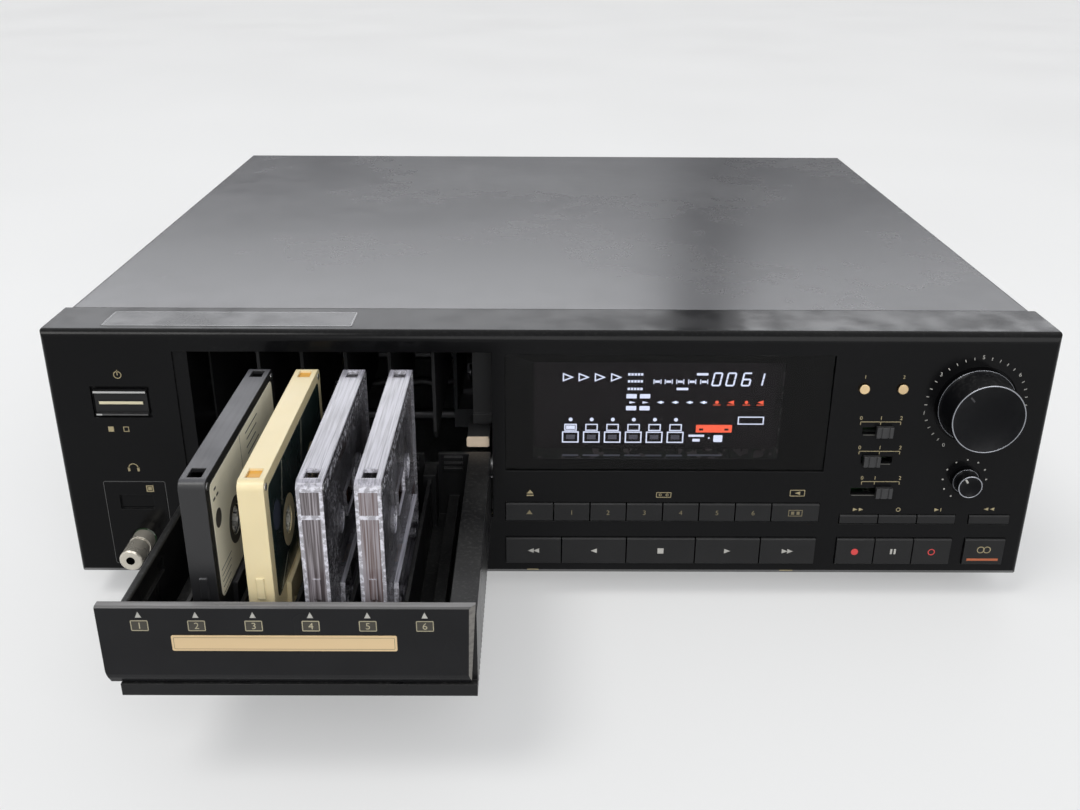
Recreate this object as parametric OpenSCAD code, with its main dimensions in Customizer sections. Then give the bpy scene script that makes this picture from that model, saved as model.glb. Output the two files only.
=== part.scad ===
// Cassette changer deck: a front-loading tray for six cassettes, shown run out with four loaded.
// Drawn with the panel's face at y = 0, its lower edge at z = 0 and x = 0 at its middle, then set on
// the floor with the middle of its footprint at the origin. X is to the right, Y to the back, Z up.

/* [Case] */
// Width of the front panel
panel_w = 420; // [416:1:436]
// Depth of the moulded front panel, from its face to the cover
panel_d = 30; // [28:0.5:36]
// Thickness of the front panel's plate
plate_t = 3; // [2.6:0.1:3.4]
// Radius along the panel's upper front edge
edge_r = 4; // [2:0.5:5]
// Depth of the case behind the panel's face
case_d = 366; // [360:1:400]
// Distance that the panel stands out past the cover at each side
panel_lip = 1.6; // [1:0.1:3]
// Thickness of the steel cover
cover_t = 1; // [0.8:0.1:1.4]
// Thickness of the steel chassis and rear panel
sheet_t = 1.2; // [1:0.1:1.6]
// Height of the feet
foot_h = 12; // [8:0.5:18]
// Radius of the feet
foot_r = 19; // [15:0.5:24]

/* [Drawer opening] */
// Distance from the panel's left edge to the drawer opening
open_inset = 59.4; // [58:0.2:64]
// Height of the sill under the drawer opening
sill_h = 29.5; // [28.5:0.1:32]
// Height of the panel above the drawer opening
header_h = 8.7; // [8:0.1:12]
// Room above the cassettes in the opening
head_room = 2.1; // [1.8:0.1:3]

/* [Cassettes] */
// Length of a cassette
tape_l = 100.4; // [98:0.1:104]
// Height of a cassette
tape_h = 63.8; // [62:0.1:66]
// Thickness of a cassette's body
tape_t = 8.7; // [8:0.1:9.2]
// Thickness of a cassette at its head end
head_t = 12; // [11:0.1:12.6]
// Radius of the two hub holes in a cassette
hub_hole_r = 5; // [4.6:0.1:5.4]

/* [Tray] */
// Distance between neighbouring slots
slot_pitch = 18.84; // [18.4:0.02:20]
// Distance that the tray runs out
travel = 124; // [110:1:126]
// Height of the tray's side walls
wall_h = 30.9; // [28:0.1:33]
// Thickness of the tray's walls
wall_t = 3; // [2.4:0.1:3.4]
// Thickness of the tray's floor
tray_floor = 1.9; // [1.6:0.1:2.2]
// Height of the rails that a cassette stands on, above the tray's underside
seat_h = 10.9; // [10:0.1:12]
// Height of the dividers between slots
divider_h = 24; // [18:0.5:25]
// Thickness of the dividers and of the guide's fins
fin_t = 1.4; // [1:0.1:1.8]
// Height of the drawer's front above the tray's underside
front_h = 35.6; // [34:0.1:37]
// Thickness of the drawer's front
front_t = 3.3; // [2.8:0.1:4]
// Height of the tray's lip under the drawer's front
lip_h = 4.6; // [3:0.1:5.5]
// Height of the groove between that lip and the drawer's front
groove_h = 0.4; // [0.3:0.1:2]
// Height of the bevel along the lower edge of the drawer's front
bevel_h = 3.9; // [2:0.1:6]

/* [Drive] */
// Module of the rack and its pinion
rack_m = 1; // [0.9:0.05:1.1]
// Teeth of the pinion
pinion_n = 18; // [17:1:19]
// Module of the gear pair
gear_m = 0.8; // [0.7:0.05:0.85]
// Teeth of the large gear beside the pinion
wheel_n = 30; // [28:1:31]
// Teeth of the small gear on the pulley
small_n = 17; // [17:1:19]
// Radius of the tray motor
motor_r = 11; // [9:0.5:12]

/* [Transport] */
// Radius of the carriage's guide rods
rod_r = 3; // [2.5:0.1:3.5]
// Outer radius of the lead screw
screw_r = 3.3; // [3:0.1:4]
// Width of the cassette chamber in the carriage
chamber_w = 15; // [14:0.1:15.5]
// Upward travel of the head block
head_lift = 4; // [3:0.5:5]

/* [Controls] */
// Radius of the recording level knob at its foot
level_r = 16.3; // [14:0.1:17]
// Height of the recording level knob above the panel
level_h = 15.4; // [12:0.1:20]
// Radius of the balance knob
balance_r = 5.6; // [5:0.1:6.5]
// Height of the balance knob above the panel
balance_h = 7.5; // [6:0.1:10]
// Gap round each key
key_gap = 0.3; // [0.25:0.05:0.4]
// Travel of a key
key_travel = 1.2; // [0.8:0.1:1.5]
// Height of the upper row of keys
small_key_h = 9.4; // [8:0.1:10.5]
// Height of the lower row of keys
large_key_h = 13.6; // [12:0.1:14.5]
// Width of the two end keys of the upper row
end_key_w = 21.1; // [20:0.1:24]
// Radius of the two counter buttons
dot_r = 2.1; // [1.6:0.1:2.6]
// Outer radius of the headphone plug adaptor
adaptor_r = 4.83; // [4.5:0.05:5.2]
// Radius of the socket in the adaptor
socket_r = 1.8; // [1.77:0.01:1.85]

/* [Hidden] */
$fn = 48;

// Clearances
slide_gap = 0.6;
run_gap = 0.05;
seat_gap = 0.3;

// The case
left = -panel_w / 2;
right = panel_w / 2;
cover_hw = right - panel_lip;
pan_hw = cover_hw - cover_t;
floor_z = 2;
flange_h = 12;
post_h = 10;
board_t = 1.6;

// The opening and the tray's place in it
slots = 6;
front_margin = 0.8;
first_slot = 14.7;
last_slot = 16.7;
open_l = left + open_inset;
open_r = open_l + first_slot + (slots - 1) * slot_pitch + last_slot;
tray_z = sill_h + slide_gap;
seat_z = tray_z + seat_h;
tape_top = seat_z + tape_h;
open_top = tape_top + head_room;
panel_h = open_top + header_h;
tray_l = open_l + 5;
tray_r = open_r - 0.8;
tray_top = tray_z + wall_h;
function slot_x(i) = open_l + first_slot + (i - 1) * slot_pitch;
function gap_x(i) = slot_x(i) + slot_pitch / 2;

// Along the tray, measured in its closed place
tape_y0 = 12;
tape_y1 = tape_y0 + tape_l;
back_wall_y = tape_y1 + 10.6;
back_wall_t = 2;
tray_back = back_wall_y + back_wall_t;
runner_l = 80;
runner_w = 4.3;
runner_h = 6;
runner_z = tray_z + 0.9;
runner_y0 = travel + 4;
runner_y1 = runner_y0 + runner_l;

// The rack and its pinion. The pinion's axis lies one pitch radius under the rack's pitch line.
backlash = 0.14;
pinion_r = rack_m * pinion_n / 2;
pitch_z = tray_z + rack_m;
root_z = pitch_z + 1.25 * rack_m;
pinion_y = 22;
pinion_z = pitch_z - pinion_r;
rack_w = 4;
rack_end = pinion_y + travel + 7;
pinion_w = 3.2;
wheel_r = gear_m * wheel_n / 2;
small_r = gear_m * small_n / 2;
train_angle = -12;
train_d = wheel_r + small_r;
pulley_y = pinion_y + train_d * cos(train_angle);
pulley_z = pinion_z + train_d * sin(train_angle);
pulley_r = 13;
groove_r = pulley_r - 1;
motor_y = pulley_y + 38;
motor_z = floor_z + 3 + motor_r;
motor_pulley_r = 4;
motor_groove_r = motor_pulley_r - 1;
shaft_r = 1.5;
wheel_x = tray_r + 4.9;
wheel_w = 3;
disc_x = wheel_x + wheel_w + 0.4;
disc_w = 4;
belt_x = disc_x + disc_w / 2;
belt_w = 1.6;
belt_t = 1.2;

// Rails that carry the tray's runners
rail_y0 = 36;
rail_y1 = runner_y1 - 2;
rail_t = 1.8;
lip_t = 1.6;
rail_top = runner_z + runner_h + seat_gap + lip_t;

// The fixed guide over the tray
guide_y0 = 18;
guide_y1 = tray_back - 1;
guide_gap = 2.8;
guide_z = tape_top + guide_gap;
guide_t = 1.8;
fin_z = tray_z + 27.4;
end_block_w = 12;

// The transport behind the tray. The screw turns once for each slot.
chamber_y0 = tray_back + 6;
chamber_y1 = chamber_y0 + tape_l + 3;
rod_z = 18;
rod_y = [chamber_y0 + 6, chamber_y1 - 5];
screw_y = (rod_y[0] + rod_y[1]) / 2;
journal_r = 2;
plate_x = [open_l - 18, open_r + 32];
chamber_wall = 2;
deck_w = 28.5;
carriage_x0 = slot_x(slots) - chamber_w / 2 - chamber_wall;
carriage_x1 = slot_x(slots) + chamber_w / 2 + chamber_wall + deck_w;
base_z0 = 12.5;
base_z1 = 23.5;

// The display and the control board behind the panel
board_y = 15;
window_drop = 9.6;
window_rise = 52.4;
window_inset = 5.5;
window_x0 = open_r + window_inset;
group_w = 75.1;
group_x = right - 83.1;
window_x1 = group_x - 9.2;
window_z1 = panel_h - window_drop;
pane_t = 1.2;
pane_sink = 1;
aperture_l = 12;
aperture_r = 20;
aperture_low = 5;
aperture_high = 4;
tube_margin = 1;

// The key rows: each row is a list of key widths from left to right
key_x0 = open_r + 5.3;
key_x1 = group_x - 9;
number_key_w = (key_x1 - key_x0 - 2 * end_key_w) / 6;
small_row = [end_key_w, number_key_w, number_key_w, number_key_w, number_key_w, number_key_w,
    number_key_w, end_key_w];
row_w = key_x1 - key_x0;
large_row = [row_w * 0.18, row_w * 0.209, row_w * 0.222, row_w * 0.209, row_w * 0.18];
group_key_w = 17.1;
lone_key_w = 18.2;
lone_x = group_x + group_w - lone_key_w;
small_row_z = 27.8;
large_row_z = 6.4;
slim_key_h = 5;
slim_row_z = 26.7;
function run_sum(widths, count) = count <= 0 ? 0 : widths[count - 1] + run_sum(widths, count - 1);

// Round controls
level_x = right - 31.6;
level_z = panel_h - 31.4;
balance_x = right - 30.8;
balance_z = panel_h - 66.6;
spindle_r = 3;
small_spindle_r = 2;
dot_x = [group_x + 3.7, group_x + 19.8];
dot_z = panel_h - 24.1;

// Slide switches: cap centre, slot from and to, height
cap_w = 7;
cap_h = 4.9;
slot_h = 3.4;
switch_x = [group_x + 14.4, group_x + 10.6, group_x + 17.7];
switch_z = [panel_h - 43.6, panel_h - 57.4, panel_h - 72.6];
switch_reach = [[-5, 0], [0, 5], [-10, 0]];

// The left column: power button, sensor window and headphone socket
side_x = (left + open_l) / 2;
power_w = 22.6;
power_h = 11.8;
power_z = panel_h - 31.7;
power_travel = 3;
plate_z0 = 5.6;
plate_z1 = 46.8;
plate_w = 26.8;
phones_x = side_x + 0.8;
phones_z = 18.2;
adaptor_l = 18.9;
plug_r = 3.17;
plug_l = 29;

// Screws of the case: along the sides, along the cover's rear edge and along the chassis' rear flange
side_screw_y = [60, case_d - 46];
side_screw_z = 9;
top_screw_x = [-150, 0, 150];
top_screw_z = panel_h - 4.2;
low_screw_x = [-170, 0, 170];
low_screw_z = 9;
hole_r = 1.7;

// The back of the case
rear_y = case_d - cover_t - sheet_t;
rear_face = case_d - cover_t;
jack_r = 4.15;
jack_out = 9;
jack_x = [right - 62, right - 42];
jack_z = [74, 56];
gland_x = left + 42;
gland_z = 30;
gland_r = 8;
cord_r = 3.4;

// The transformer, the main board and the feet
core_x = left + 51;
core_y = case_d - 64;
core_w = 62;
core_h = 54;
core_d = 34;
yoke_w = 10;
limb_w = 20;
coil_out = 11;
main_x0 = plate_x[1] + 8;
main_x1 = right - 10;
main_y0 = panel_d + 22;
main_y1 = case_d - 22;
foot_x = right - 48;
foot_y = [panel_d + 24, case_d - 42];

front_y = -travel;
back_y = case_d + jack_out;
mid_y = (front_y + back_y) / 2;

// Box between two corners
module block(lo, hi) translate(lo) cube(hi - lo);

// A flat outline in y and z, carried along x
module profile_x(x0, x1) translate([x0, 0, 0]) rotate([90, 0, 90]) linear_extrude(x1 - x0) children();

// A flat outline in x and z, carried along y
module profile_y(y0, y1) translate([0, y1, 0]) rotate([90, 0, 0]) linear_extrude(y1 - y0) children();

module rod_x(x0, x1, y, z, r) translate([x0, y, z]) rotate([0, 90, 0]) cylinder(h = x1 - x0, r = r);

module rod_y(y0, y1, x, z, r) translate([x, y0, z]) rotate([-90, 0, 0]) cylinder(h = y1 - y0, r = r);

module rod_z(z0, z1, x, y, r) translate([x, y, z0]) cylinder(h = z1 - z0, r = r);

module rect(x0, y0, x1, y1) translate([x0, y0]) square([x1 - x0, y1 - y0]);

// Rectangle with round corners
module round_rect(x0, y0, x1, y1, r) {
    rect(x0 + r, y0, x1 - r, y1);
    rect(x0, y0 + r, x1, y1 - r);
    for (x = [x0 + r, x1 - r], y = [y0 + r, y1 - r]) translate([x, y]) circle(r);
}

// Sets the drawn model on the floor, centred on its footprint
module place() translate([0, -mid_y, foot_h]) children();

// Moves what is drawn in the closed tray to where the tray stands when run out
module run_out() translate([0, -travel, 0]) children();

// Polar angle and radius of an involute at a given radius
function involute_angle(rb, r) = let (t = sqrt(max(0, pow(r / rb, 2) - 1))) t * 180 / PI - atan(t);
function polar(r, a) = [r * cos(a), r * sin(a)];

// Outline of a spur gear with a tooth centred on the x axis. Flanks are involutes of 20 degrees.
module gear_outline(m, n) {
    r = m * n / 2;
    rb = r * cos(20);
    ra = r + m;
    rf = r - 1.25 * m;
    half = 90 / n - backlash / 2 / r * 180 / PI / 2;
    steps = 5;
    r_start = max(rb, rf);
    function reach(k) = r_start + (ra - r_start) * k / steps;
    function lean(k) = half + involute_angle(rb, r) - involute_angle(rb, reach(k));
    polygon([for (i = [0:n - 1]) each concat(
        [polar(rf, i * 360 / n - lean(0))],
        [for (k = [0:steps]) polar(reach(k), i * 360 / n - lean(k))],
        [for (k = [steps:-1:0]) polar(reach(k), i * 360 / n + lean(k))],
        [polar(rf, i * 360 / n + lean(0))])]);
}

// Gaps of a rack as an outline in y and z. A gap is centred on y = 0 and the teeth point down.
module rack_gaps(m, from, to) {
    pitch = PI * m;
    half = pitch / 4 + backlash / 4;
    slope = tan(20);
    for (k = [ceil(from / pitch):floor(to / pitch)]) translate([k * pitch, 0])
        polygon([[-half - slope * 1.6 * m, -1.6 * m], [half + slope * 1.6 * m, -1.6 * m],
            [half - slope * 1.25 * m, 1.25 * m], [-half + slope * 1.25 * m, 1.25 * m]]);
}

// Ring of a belt where it lies on a pulley: open towards the wedge between two angles
module belt_arc(r, t, from, to) difference() {
    circle(r + t);
    circle(r);
    polygon([[0, 0], polar(6 * r, from), polar(9 * r, (from + to) / 2), polar(6 * r, to)]);
}

// Outline of a belt of thickness t round a large and a small pulley at distance d
module belt_outline(r1, r2, d, t) {
    a = acos((r1 - r2) / d);
    run = sqrt(d * d - (r1 - r2) * (r1 - r2));
    seam = 0.02;
    belt_arc(r1, t, -a, a);
    translate([d, 0]) belt_arc(r2, t, a, 360 - a);
    for (s = [0, 1]) mirror([0, s]) translate(polar(r1, a)) rotate(a - 90)
        rect(-seam, 0, run + seam, t);
}

// Folded steel pan with side, front and rear flanges, vents and posts for the main board
module chassis() color("#8d9093") {
    base_y0 = panel_d;
    base_y1 = rear_y;
    z0 = floor_z - sheet_t;
    difference() {
        block([-pan_hw, base_y0, z0], [pan_hw, base_y1, floor_z]);
        for (i = [0:9], y = [0, 60]) translate([main_x0 + 26 + i * 14, case_d * 0.33 + y, z0])
            linear_extrude(3 * sheet_t, center = true) round_rect(-2, -20, 2, 20, 1.9);
        for (x = [-foot_x, foot_x], y = foot_y) rod_z(z0 - 1, floor_z + 1, x, y, 2);
    }
    for (s = [-1, 1]) difference() {
        block([s > 0 ? pan_hw - sheet_t : -pan_hw, base_y0, floor_z],
            [s > 0 ? pan_hw : -pan_hw + sheet_t, base_y1, floor_z + flange_h]);
        for (y = side_screw_y) rod_x(s * pan_hw - 3, s * pan_hw + 3, y, side_screw_z, hole_r);
    }
    for (x = [[-pan_hw + sheet_t, open_l - 6], [plate_x[1], pan_hw - sheet_t]])
        block([x[0], base_y0, floor_z], [x[1], base_y0 + sheet_t, floor_z + flange_h / 2]);
    difference() {
        block([-pan_hw + sheet_t, base_y1 - sheet_t, floor_z],
            [pan_hw - sheet_t, base_y1, floor_z + flange_h]);
        for (x = low_screw_x) rod_y(base_y1 - 2, base_y1 + 1, x, low_screw_z, hole_r);
    }
    for (x = [main_x0 + 8, (main_x0 + main_x1) / 2, main_x1 - 8], y = [main_y0 + 8, main_y1 - 8])
        rod_z(floor_z, floor_z + post_h, x, y, 3.5);
}

// Folded steel cover, open underneath, with a hem over the rear panel
module top_cover() color("#3c3e42") difference() {
    union() {
        profile_y(panel_d + 0.2, case_d) difference() {
            round_rect(-cover_hw, floor_z - sheet_t, cover_hw, panel_h, 2);
            round_rect(-cover_hw + cover_t, -10, cover_hw - cover_t, panel_h - cover_t, 1);
            rect(-cover_hw - 1, -10, cover_hw + 1, floor_z + 1);
        }
        block([-cover_hw + cover_t, case_d - cover_t, panel_h - 7],
            [cover_hw - cover_t, case_d, panel_h - cover_t]);
    }
    for (s = [-1, 1], y = side_screw_y)
        rod_x(s * cover_hw - 3, s * cover_hw + 3, y, side_screw_z, hole_r);
    for (x = top_screw_x) rod_y(case_d - 3, case_d + 1, x, top_screw_z, hole_r);
}

// Flat steel rear panel with holes for the jacks and the cord's gland
module rear_panel() color("#55585c") difference() {
    block([-pan_hw + 0.3, rear_y, floor_z + 0.4], [pan_hw - 0.3, rear_face, panel_h - cover_t - 0.3]);
    for (x = jack_x, z = jack_z) rod_y(rear_y - 2, case_d + 2, x, z, jack_r + 0.2);
    rod_y(rear_y - 2, case_d + 2, gland_x, gland_z, gland_r * 0.8 + 0.1);
    for (x = top_screw_x) rod_y(rear_y - 2, case_d + 2, x, top_screw_z, hole_r);
    for (x = low_screw_x) rod_y(rear_y - 2, case_d + 2, x, low_screw_z, hole_r);
    for (i = [0:11]) translate([20 + i * 8, rear_y, 80])
        rotate([90, 0, 0]) linear_extrude(4, center = true) round_rect(-1.5, -14, 1.5, 14, 1.4);
}

// Outline of the moulded panel's side: upper front edge rounded, lower front edge chamfered
module panel_side(d, h, r, c) difference() {
    rect(0, 0, d, h);
    translate([0, h - r]) difference() {
        rect(-1, 0, r, r + 1);
        translate([r, 0]) circle(r);
    }
    polygon([[-1, -1], [c, -1], [c, 0], [0, c], [-1, c]]);
}

// Holes and recesses of the front panel that other pieces sit in
module panel_holes() {
    back = panel_d + 1;
    inner = plate_t + 1;
    block([open_l, -1, sill_h], [open_r, inner, open_top]);
    block([open_l - 6, -1, sill_h], [open_l + 1, 0.8, open_top]);
    block([window_x0, -1, window_rise], [window_x1, pane_sink + pane_t, window_z1]);
    block([window_x0 + aperture_l, -1, window_rise + aperture_low],
        [window_x1 - aperture_r, inner, window_z1 - aperture_high]);
    block([key_x0, -1, small_row_z], [key_x1, inner, small_row_z + small_key_h]);
    block([key_x0, -1, large_row_z], [key_x1, inner, large_row_z + large_key_h]);
    for (z = [[slim_row_z, slim_key_h], [large_row_z, large_key_h]]) {
        block([group_x, -1, z[0]], [group_x + 3 * group_key_w, inner, z[0] + z[1]]);
        block([lone_x, -1, z[0]], [lone_x + lone_key_w, inner, z[0] + z[1]]);
    }
    block([side_x - power_w / 2 - 1, -1, power_z - power_h / 2 - 1],
        [side_x + power_w / 2 + 1, 1.4, power_z + power_h / 2 + 1.4]);
    block([side_x - power_w / 2, -1, power_z - power_h / 2],
        [side_x + power_w / 2, inner, power_z + power_h / 2]);
    rod_y(-1, inner, level_x, level_z, spindle_r + 0.6);
    rod_y(-1, 0.6, level_x, level_z, level_r + 1);
    rod_y(-1, inner, balance_x, balance_z, small_spindle_r + 0.6);
    rod_y(-1, 0.4, balance_x, balance_z, balance_r + 1);
    for (x = dot_x) rod_y(-1, inner, x, dot_z, dot_r + key_gap);
    for (i = [0:2]) block(
        [switch_x[i] + switch_reach[i][0] - cap_w / 2 - 0.6, -1, switch_z[i] - slot_h / 2],
        [switch_x[i] + switch_reach[i][1] + cap_w / 2 + 0.6, inner, switch_z[i] + slot_h / 2]);
    rod_y(-1, inner, phones_x, phones_z, 5.4);
    block([side_x - 7.3, -1, plate_z0 + 27.5], [side_x + 7.3, 1.2, plate_z0 + 34.4]);
    profile_y(-1, 0.3) difference() {
        round_rect(side_x - plate_w / 2, plate_z0, side_x + plate_w / 2, plate_z1, 1);
        round_rect(side_x - plate_w / 2 + 0.5, plate_z0 + 0.5, side_x + plate_w / 2 - 0.5,
            plate_z1 - 0.5, 0.8);
    }
}

// Moulded front panel: a plate with a rim all round, a collar round the drawer opening and pillars
module front_panel() color("#17171a") {
    rim = 2.4;
    difference() {
        intersection() {
            profile_x(left, right) panel_side(panel_d, panel_h, edge_r, 3);
            linear_extrude(panel_h) round_rect(left, 0, right, panel_d + 8, 2.5);
        }
        block([left + rim, plate_t, rim], [right - rim, panel_d + 1, panel_h - rim]);
        panel_holes();
    }
    collar = 1.8;
    block([open_l - collar, plate_t, sill_h], [open_l, panel_d - 1, open_top + collar]);
    block([open_l, plate_t, open_top], [open_r, guide_y0 - 1.5, open_top + collar]);
    block([open_r, plate_t, tray_z + 12], [open_r + collar, guide_y0 - 1.5, open_top + collar]);
    for (p = [[group_x - 5, 10], [group_x - 5, 44], [right - 6, panel_h - 8],
        [group_x - 5, panel_h - 8], [right - 6, 44]]) rod_y(plate_t, board_y, p[0], p[1], 3);
    for (p = [[left + 6, 10], [open_l - 5, 58], [left + 6, panel_h - 8]])
        rod_y(plate_t, board_y, p[0], p[1], 3);
}

// Smoked pane that drops into its recess in the panel
module display_window() color("#26262c")
    block([window_x0 + 0.2, pane_sink, window_rise + 0.2],
        [window_x1 - 0.2, pane_sink + pane_t, window_z1 - 0.2]);

// Fluorescent display: glass tube with its sealing tip and rows of leads, flat on the board
module display_tube() color("#1f2d33") {
    x0 = window_x0 + aperture_l + tube_margin;
    x1 = window_x1 - aperture_r - tube_margin;
    z0 = window_rise + aperture_low + tube_margin;
    z1 = window_z1 - aperture_high - tube_margin;
    block([x0, board_y - 4.6, z0], [x1, board_y - 0.8, z1]);
    block([x0 - 3, board_y - 0.8, z0 - 1], [x1 + 3, board_y, z1 + 1]);
    rod_x(x1, x1 + 5, board_y - 2.7, (z0 + z1) / 2, 1.6);
    for (i = [0:23]) translate([x0 + 4 + i * (x1 - x0 - 8) / 23, 0, 0])
        block([-0.25, board_y - 0.8, z0 - 3], [0.25, board_y, z0 - 1]);
}

// Tact switch behind a key, with its plunger a hair behind the key's stem
module tact_switch(x, z) {
    block([x - 3, board_y - 2.6, z - 3], [x + 3, board_y, z + 3]);
    rod_y(plate_t + 8.2, board_y - 2.6, x, z, 1.6);
}

// Potentiometer with a bush for the knob's spindle
module pot(x, z, r, bore) difference() {
    union() {
        rod_y(board_y - 6, board_y, x, z, r);
        rod_y(plate_t + 0.4, board_y - 6, x, z, bore + 1.6);
    }
    rod_y(plate_t - 1, board_y - 1, x, z, bore + run_gap);
}

// Board behind the keys with its switches and potentiometers
module control_board() color("#2f4a34") {
    row_mid = small_row_z + small_key_h / 2;
    low_mid = large_row_z + large_key_h / 2;
    block([disc_x + 2, board_y, 4], [right - 4, board_y + board_t, panel_h - 5]);
    for (i = [0:7]) tact_switch(key_x0 + run_sum(small_row, i) + small_row[i] / 2, row_mid);
    for (i = [0:4]) tact_switch(key_x0 + run_sum(large_row, i) + large_row[i] / 2, low_mid);
    for (i = [0:2]) {
        tact_switch(group_x + (i + 0.5) * group_key_w, slim_row_z + slim_key_h / 2);
        tact_switch(group_x + (i + 0.5) * group_key_w, low_mid);
    }
    tact_switch(lone_x + lone_key_w / 2, slim_row_z + slim_key_h / 2);
    tact_switch(lone_x + lone_key_w / 2, low_mid);
    for (x = dot_x) tact_switch(x, dot_z);
    pot(level_x, level_z, 9, spindle_r);
    pot(balance_x, balance_z, 6, small_spindle_r);
    for (i = [0:2]) difference() {
        block([switch_x[i] + switch_reach[i][0] - 6, board_y - 6, switch_z[i] - 3.4],
            [switch_x[i] + switch_reach[i][1] + 6, board_y, switch_z[i] + 3.4]);
        block([switch_x[i] + switch_reach[i][0] - 3.4, board_y - 7, switch_z[i] - 1.4],
            [switch_x[i] + switch_reach[i][1] + 3.4, board_y - 2, switch_z[i] + 1.4]);
    }
}

// Main board on its posts with a finned heat sink, capacitors, chips and plugs
module main_board() color("#3d5c3a") {
    z = floor_z + post_h;
    top = z + board_t;
    block([main_x0, main_y0, z], [main_x1, main_y1, top]);
    w = main_x1 - main_x0;
    d = main_y1 - main_y0;
    margin = 14;
    fin_pitch = 8.4;
    fins = floor(w * 0.4 / fin_pitch);
    sink_h = 46;
    block([main_x0 + margin, main_y1 - 40, top],
        [main_x0 + margin + fins * fin_pitch + 2, main_y1 - 36, top + sink_h]);
    for (i = [0:fins]) block([main_x0 + margin + i * fin_pitch, main_y1 - 36, top],
        [main_x0 + margin + 2 + i * fin_pitch, main_y1 - 24, top + sink_h]);
    large_pitch = 24;
    for (i = [0:floor(w * 0.45 / large_pitch)])
        rod_z(top, top + 34, main_x0 + 22 + i * large_pitch, main_y0 + d * 0.68, 9);
    small_pitch = 14;
    for (i = [0:floor(w * 0.25 / small_pitch)], j = [0, 1])
        rod_z(top, top + 12, main_x0 + w * 0.62 + i * small_pitch, main_y0 + d * 0.6 + j * 18, 4);
    chip_pitch = 56;
    chip_l = 30;
    for (i = [0:floor((w - chip_l - 2 * margin) / chip_pitch)], j = [0, 1])
        block([main_x0 + margin + i * chip_pitch, main_y0 + 26 + j * 58, top],
            [main_x0 + margin + chip_l + i * chip_pitch, main_y0 + 38 + j * 58, top + 4]);
    plug_pitch = 34;
    plug_l = 18;
    for (i = [0:floor((w - plug_l - margin) / plug_pitch)])
        block([main_x0 + margin + i * plug_pitch, main_y0 + 3, top],
            [main_x0 + margin + plug_l + i * plug_pitch, main_y0 + 9, top + 8]);
}

// Transformer with a laminated core, a wound bobbin and a bracket on the chassis
module power_transformer() color("#7c6a4a") {
    y0 = core_y - core_d / 2;
    y1 = core_y + core_d / 2;
    z0 = floor_z + 1.6;
    gap_w = (core_w - limb_w) / 2 - yoke_w;
    gap_mid = limb_w / 2 + gap_w / 2;
    difference() {
        block([core_x - core_w / 2, y0, z0], [core_x + core_w / 2, y1, z0 + core_h]);
        for (s = [-1, 1]) block([core_x + s * gap_mid - gap_w / 2, y0 - 1, z0 + yoke_w],
            [core_x + s * gap_mid + gap_w / 2, y1 + 1, z0 + core_h - yoke_w]);
    }
    coil_hw = gap_mid + gap_w / 2 - 0.5;
    for (y = [[y0 - coil_out, y0], [y1, y1 + coil_out]]) profile_y(y[0], y[1])
        round_rect(core_x - coil_hw, z0 + yoke_w - 0.5, core_x + coil_hw, z0 + core_h - yoke_w + 0.5, 5);
    for (s = [-1, 1]) block([core_x + s * gap_mid - gap_w / 2 + 0.4, y0, z0 + yoke_w],
        [core_x + s * gap_mid + gap_w / 2 - 0.4, y1, z0 + core_h - yoke_w]);
    difference() {
        block([core_x - core_w / 2 - 12, y0 + 4, floor_z], [core_x + core_w / 2 + 12, y1 - 4, z0]);
        for (s = [-1, 1]) rod_z(floor_z - 1, z0 + 1, core_x + s * (core_w / 2 + 7), core_y, 2);
    }
}

// Four round feet, each a cup with a rubber ring and a recess for its screw
module feet() color("#1b1b1d") for (x = [-foot_x, foot_x], y = foot_y) difference() {
    translate([x, y, floor_z - sheet_t]) rotate([180, 0, 0]) rotate_extrude() difference() {
        h = foot_h + floor_z - sheet_t;
        polygon([[0, 0], [foot_r, 0], [foot_r, h - 5], [foot_r - 3, h - 1.6], [foot_r - 3, h],
            [foot_r - 7, h], [foot_r - 7, h - 1.2], [0, h - 1.2]]);
        rect(-1, 4, 6, h);
    }
    rod_z(-foot_h - 1, floor_z + 1, x, y, 2);
}

// Screw with a low head, drawn with its head at z = 0 and its shank upwards
module screw(shank_l, shank_r, cap_r) difference() {
    union() {
        translate([0, 0, -1.8]) cylinder(h = 1.8, r = cap_r);
        cylinder(h = shank_l, r = shank_r);
    }
    for (a = [0, 90]) rotate([0, 0, a]) block([-cap_r * 0.6, -0.4, -2.8], [cap_r * 0.6, 0.4, -1]);
}

// Screws of the cover, the rear panel and the feet
module case_screws() color("#3a3a3c") {
    for (s = [-1, 1], y = side_screw_y) translate([s * cover_hw, y, side_screw_z])
        rotate([0, -90 * s, 0]) screw(5, 1.5, 3.4);
    for (x = top_screw_x) translate([x, case_d, top_screw_z]) rotate([90, 0, 0]) screw(5, 1.5, 3.4);
    for (x = low_screw_x) translate([x, rear_face, low_screw_z]) rotate([90, 0, 0]) screw(5, 1.5, 3.4);
    for (x = [-foot_x, foot_x], y = foot_y) translate([x, y, floor_z - sheet_t - 4]) screw(8, 1.8, 4.2);
}

// Block of four phono jacks on the rear panel
module rear_jacks() color("#c9a552") {
    edge = 8;
    depth = 9;
    block([jack_x[0] - edge, rear_y - depth, jack_z[1] - edge],
        [jack_x[1] + edge, rear_y, jack_z[0] + edge]);
    for (x = jack_x, z = jack_z) difference() {
        union() {
            rod_y(rear_y, back_y, x, z, jack_r);
            rod_y(rear_face, case_d, x, z, jack_r + 2);
        }
        rod_y(rear_y + 2, back_y + 1, x, z, 1.6);
    }
}

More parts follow.
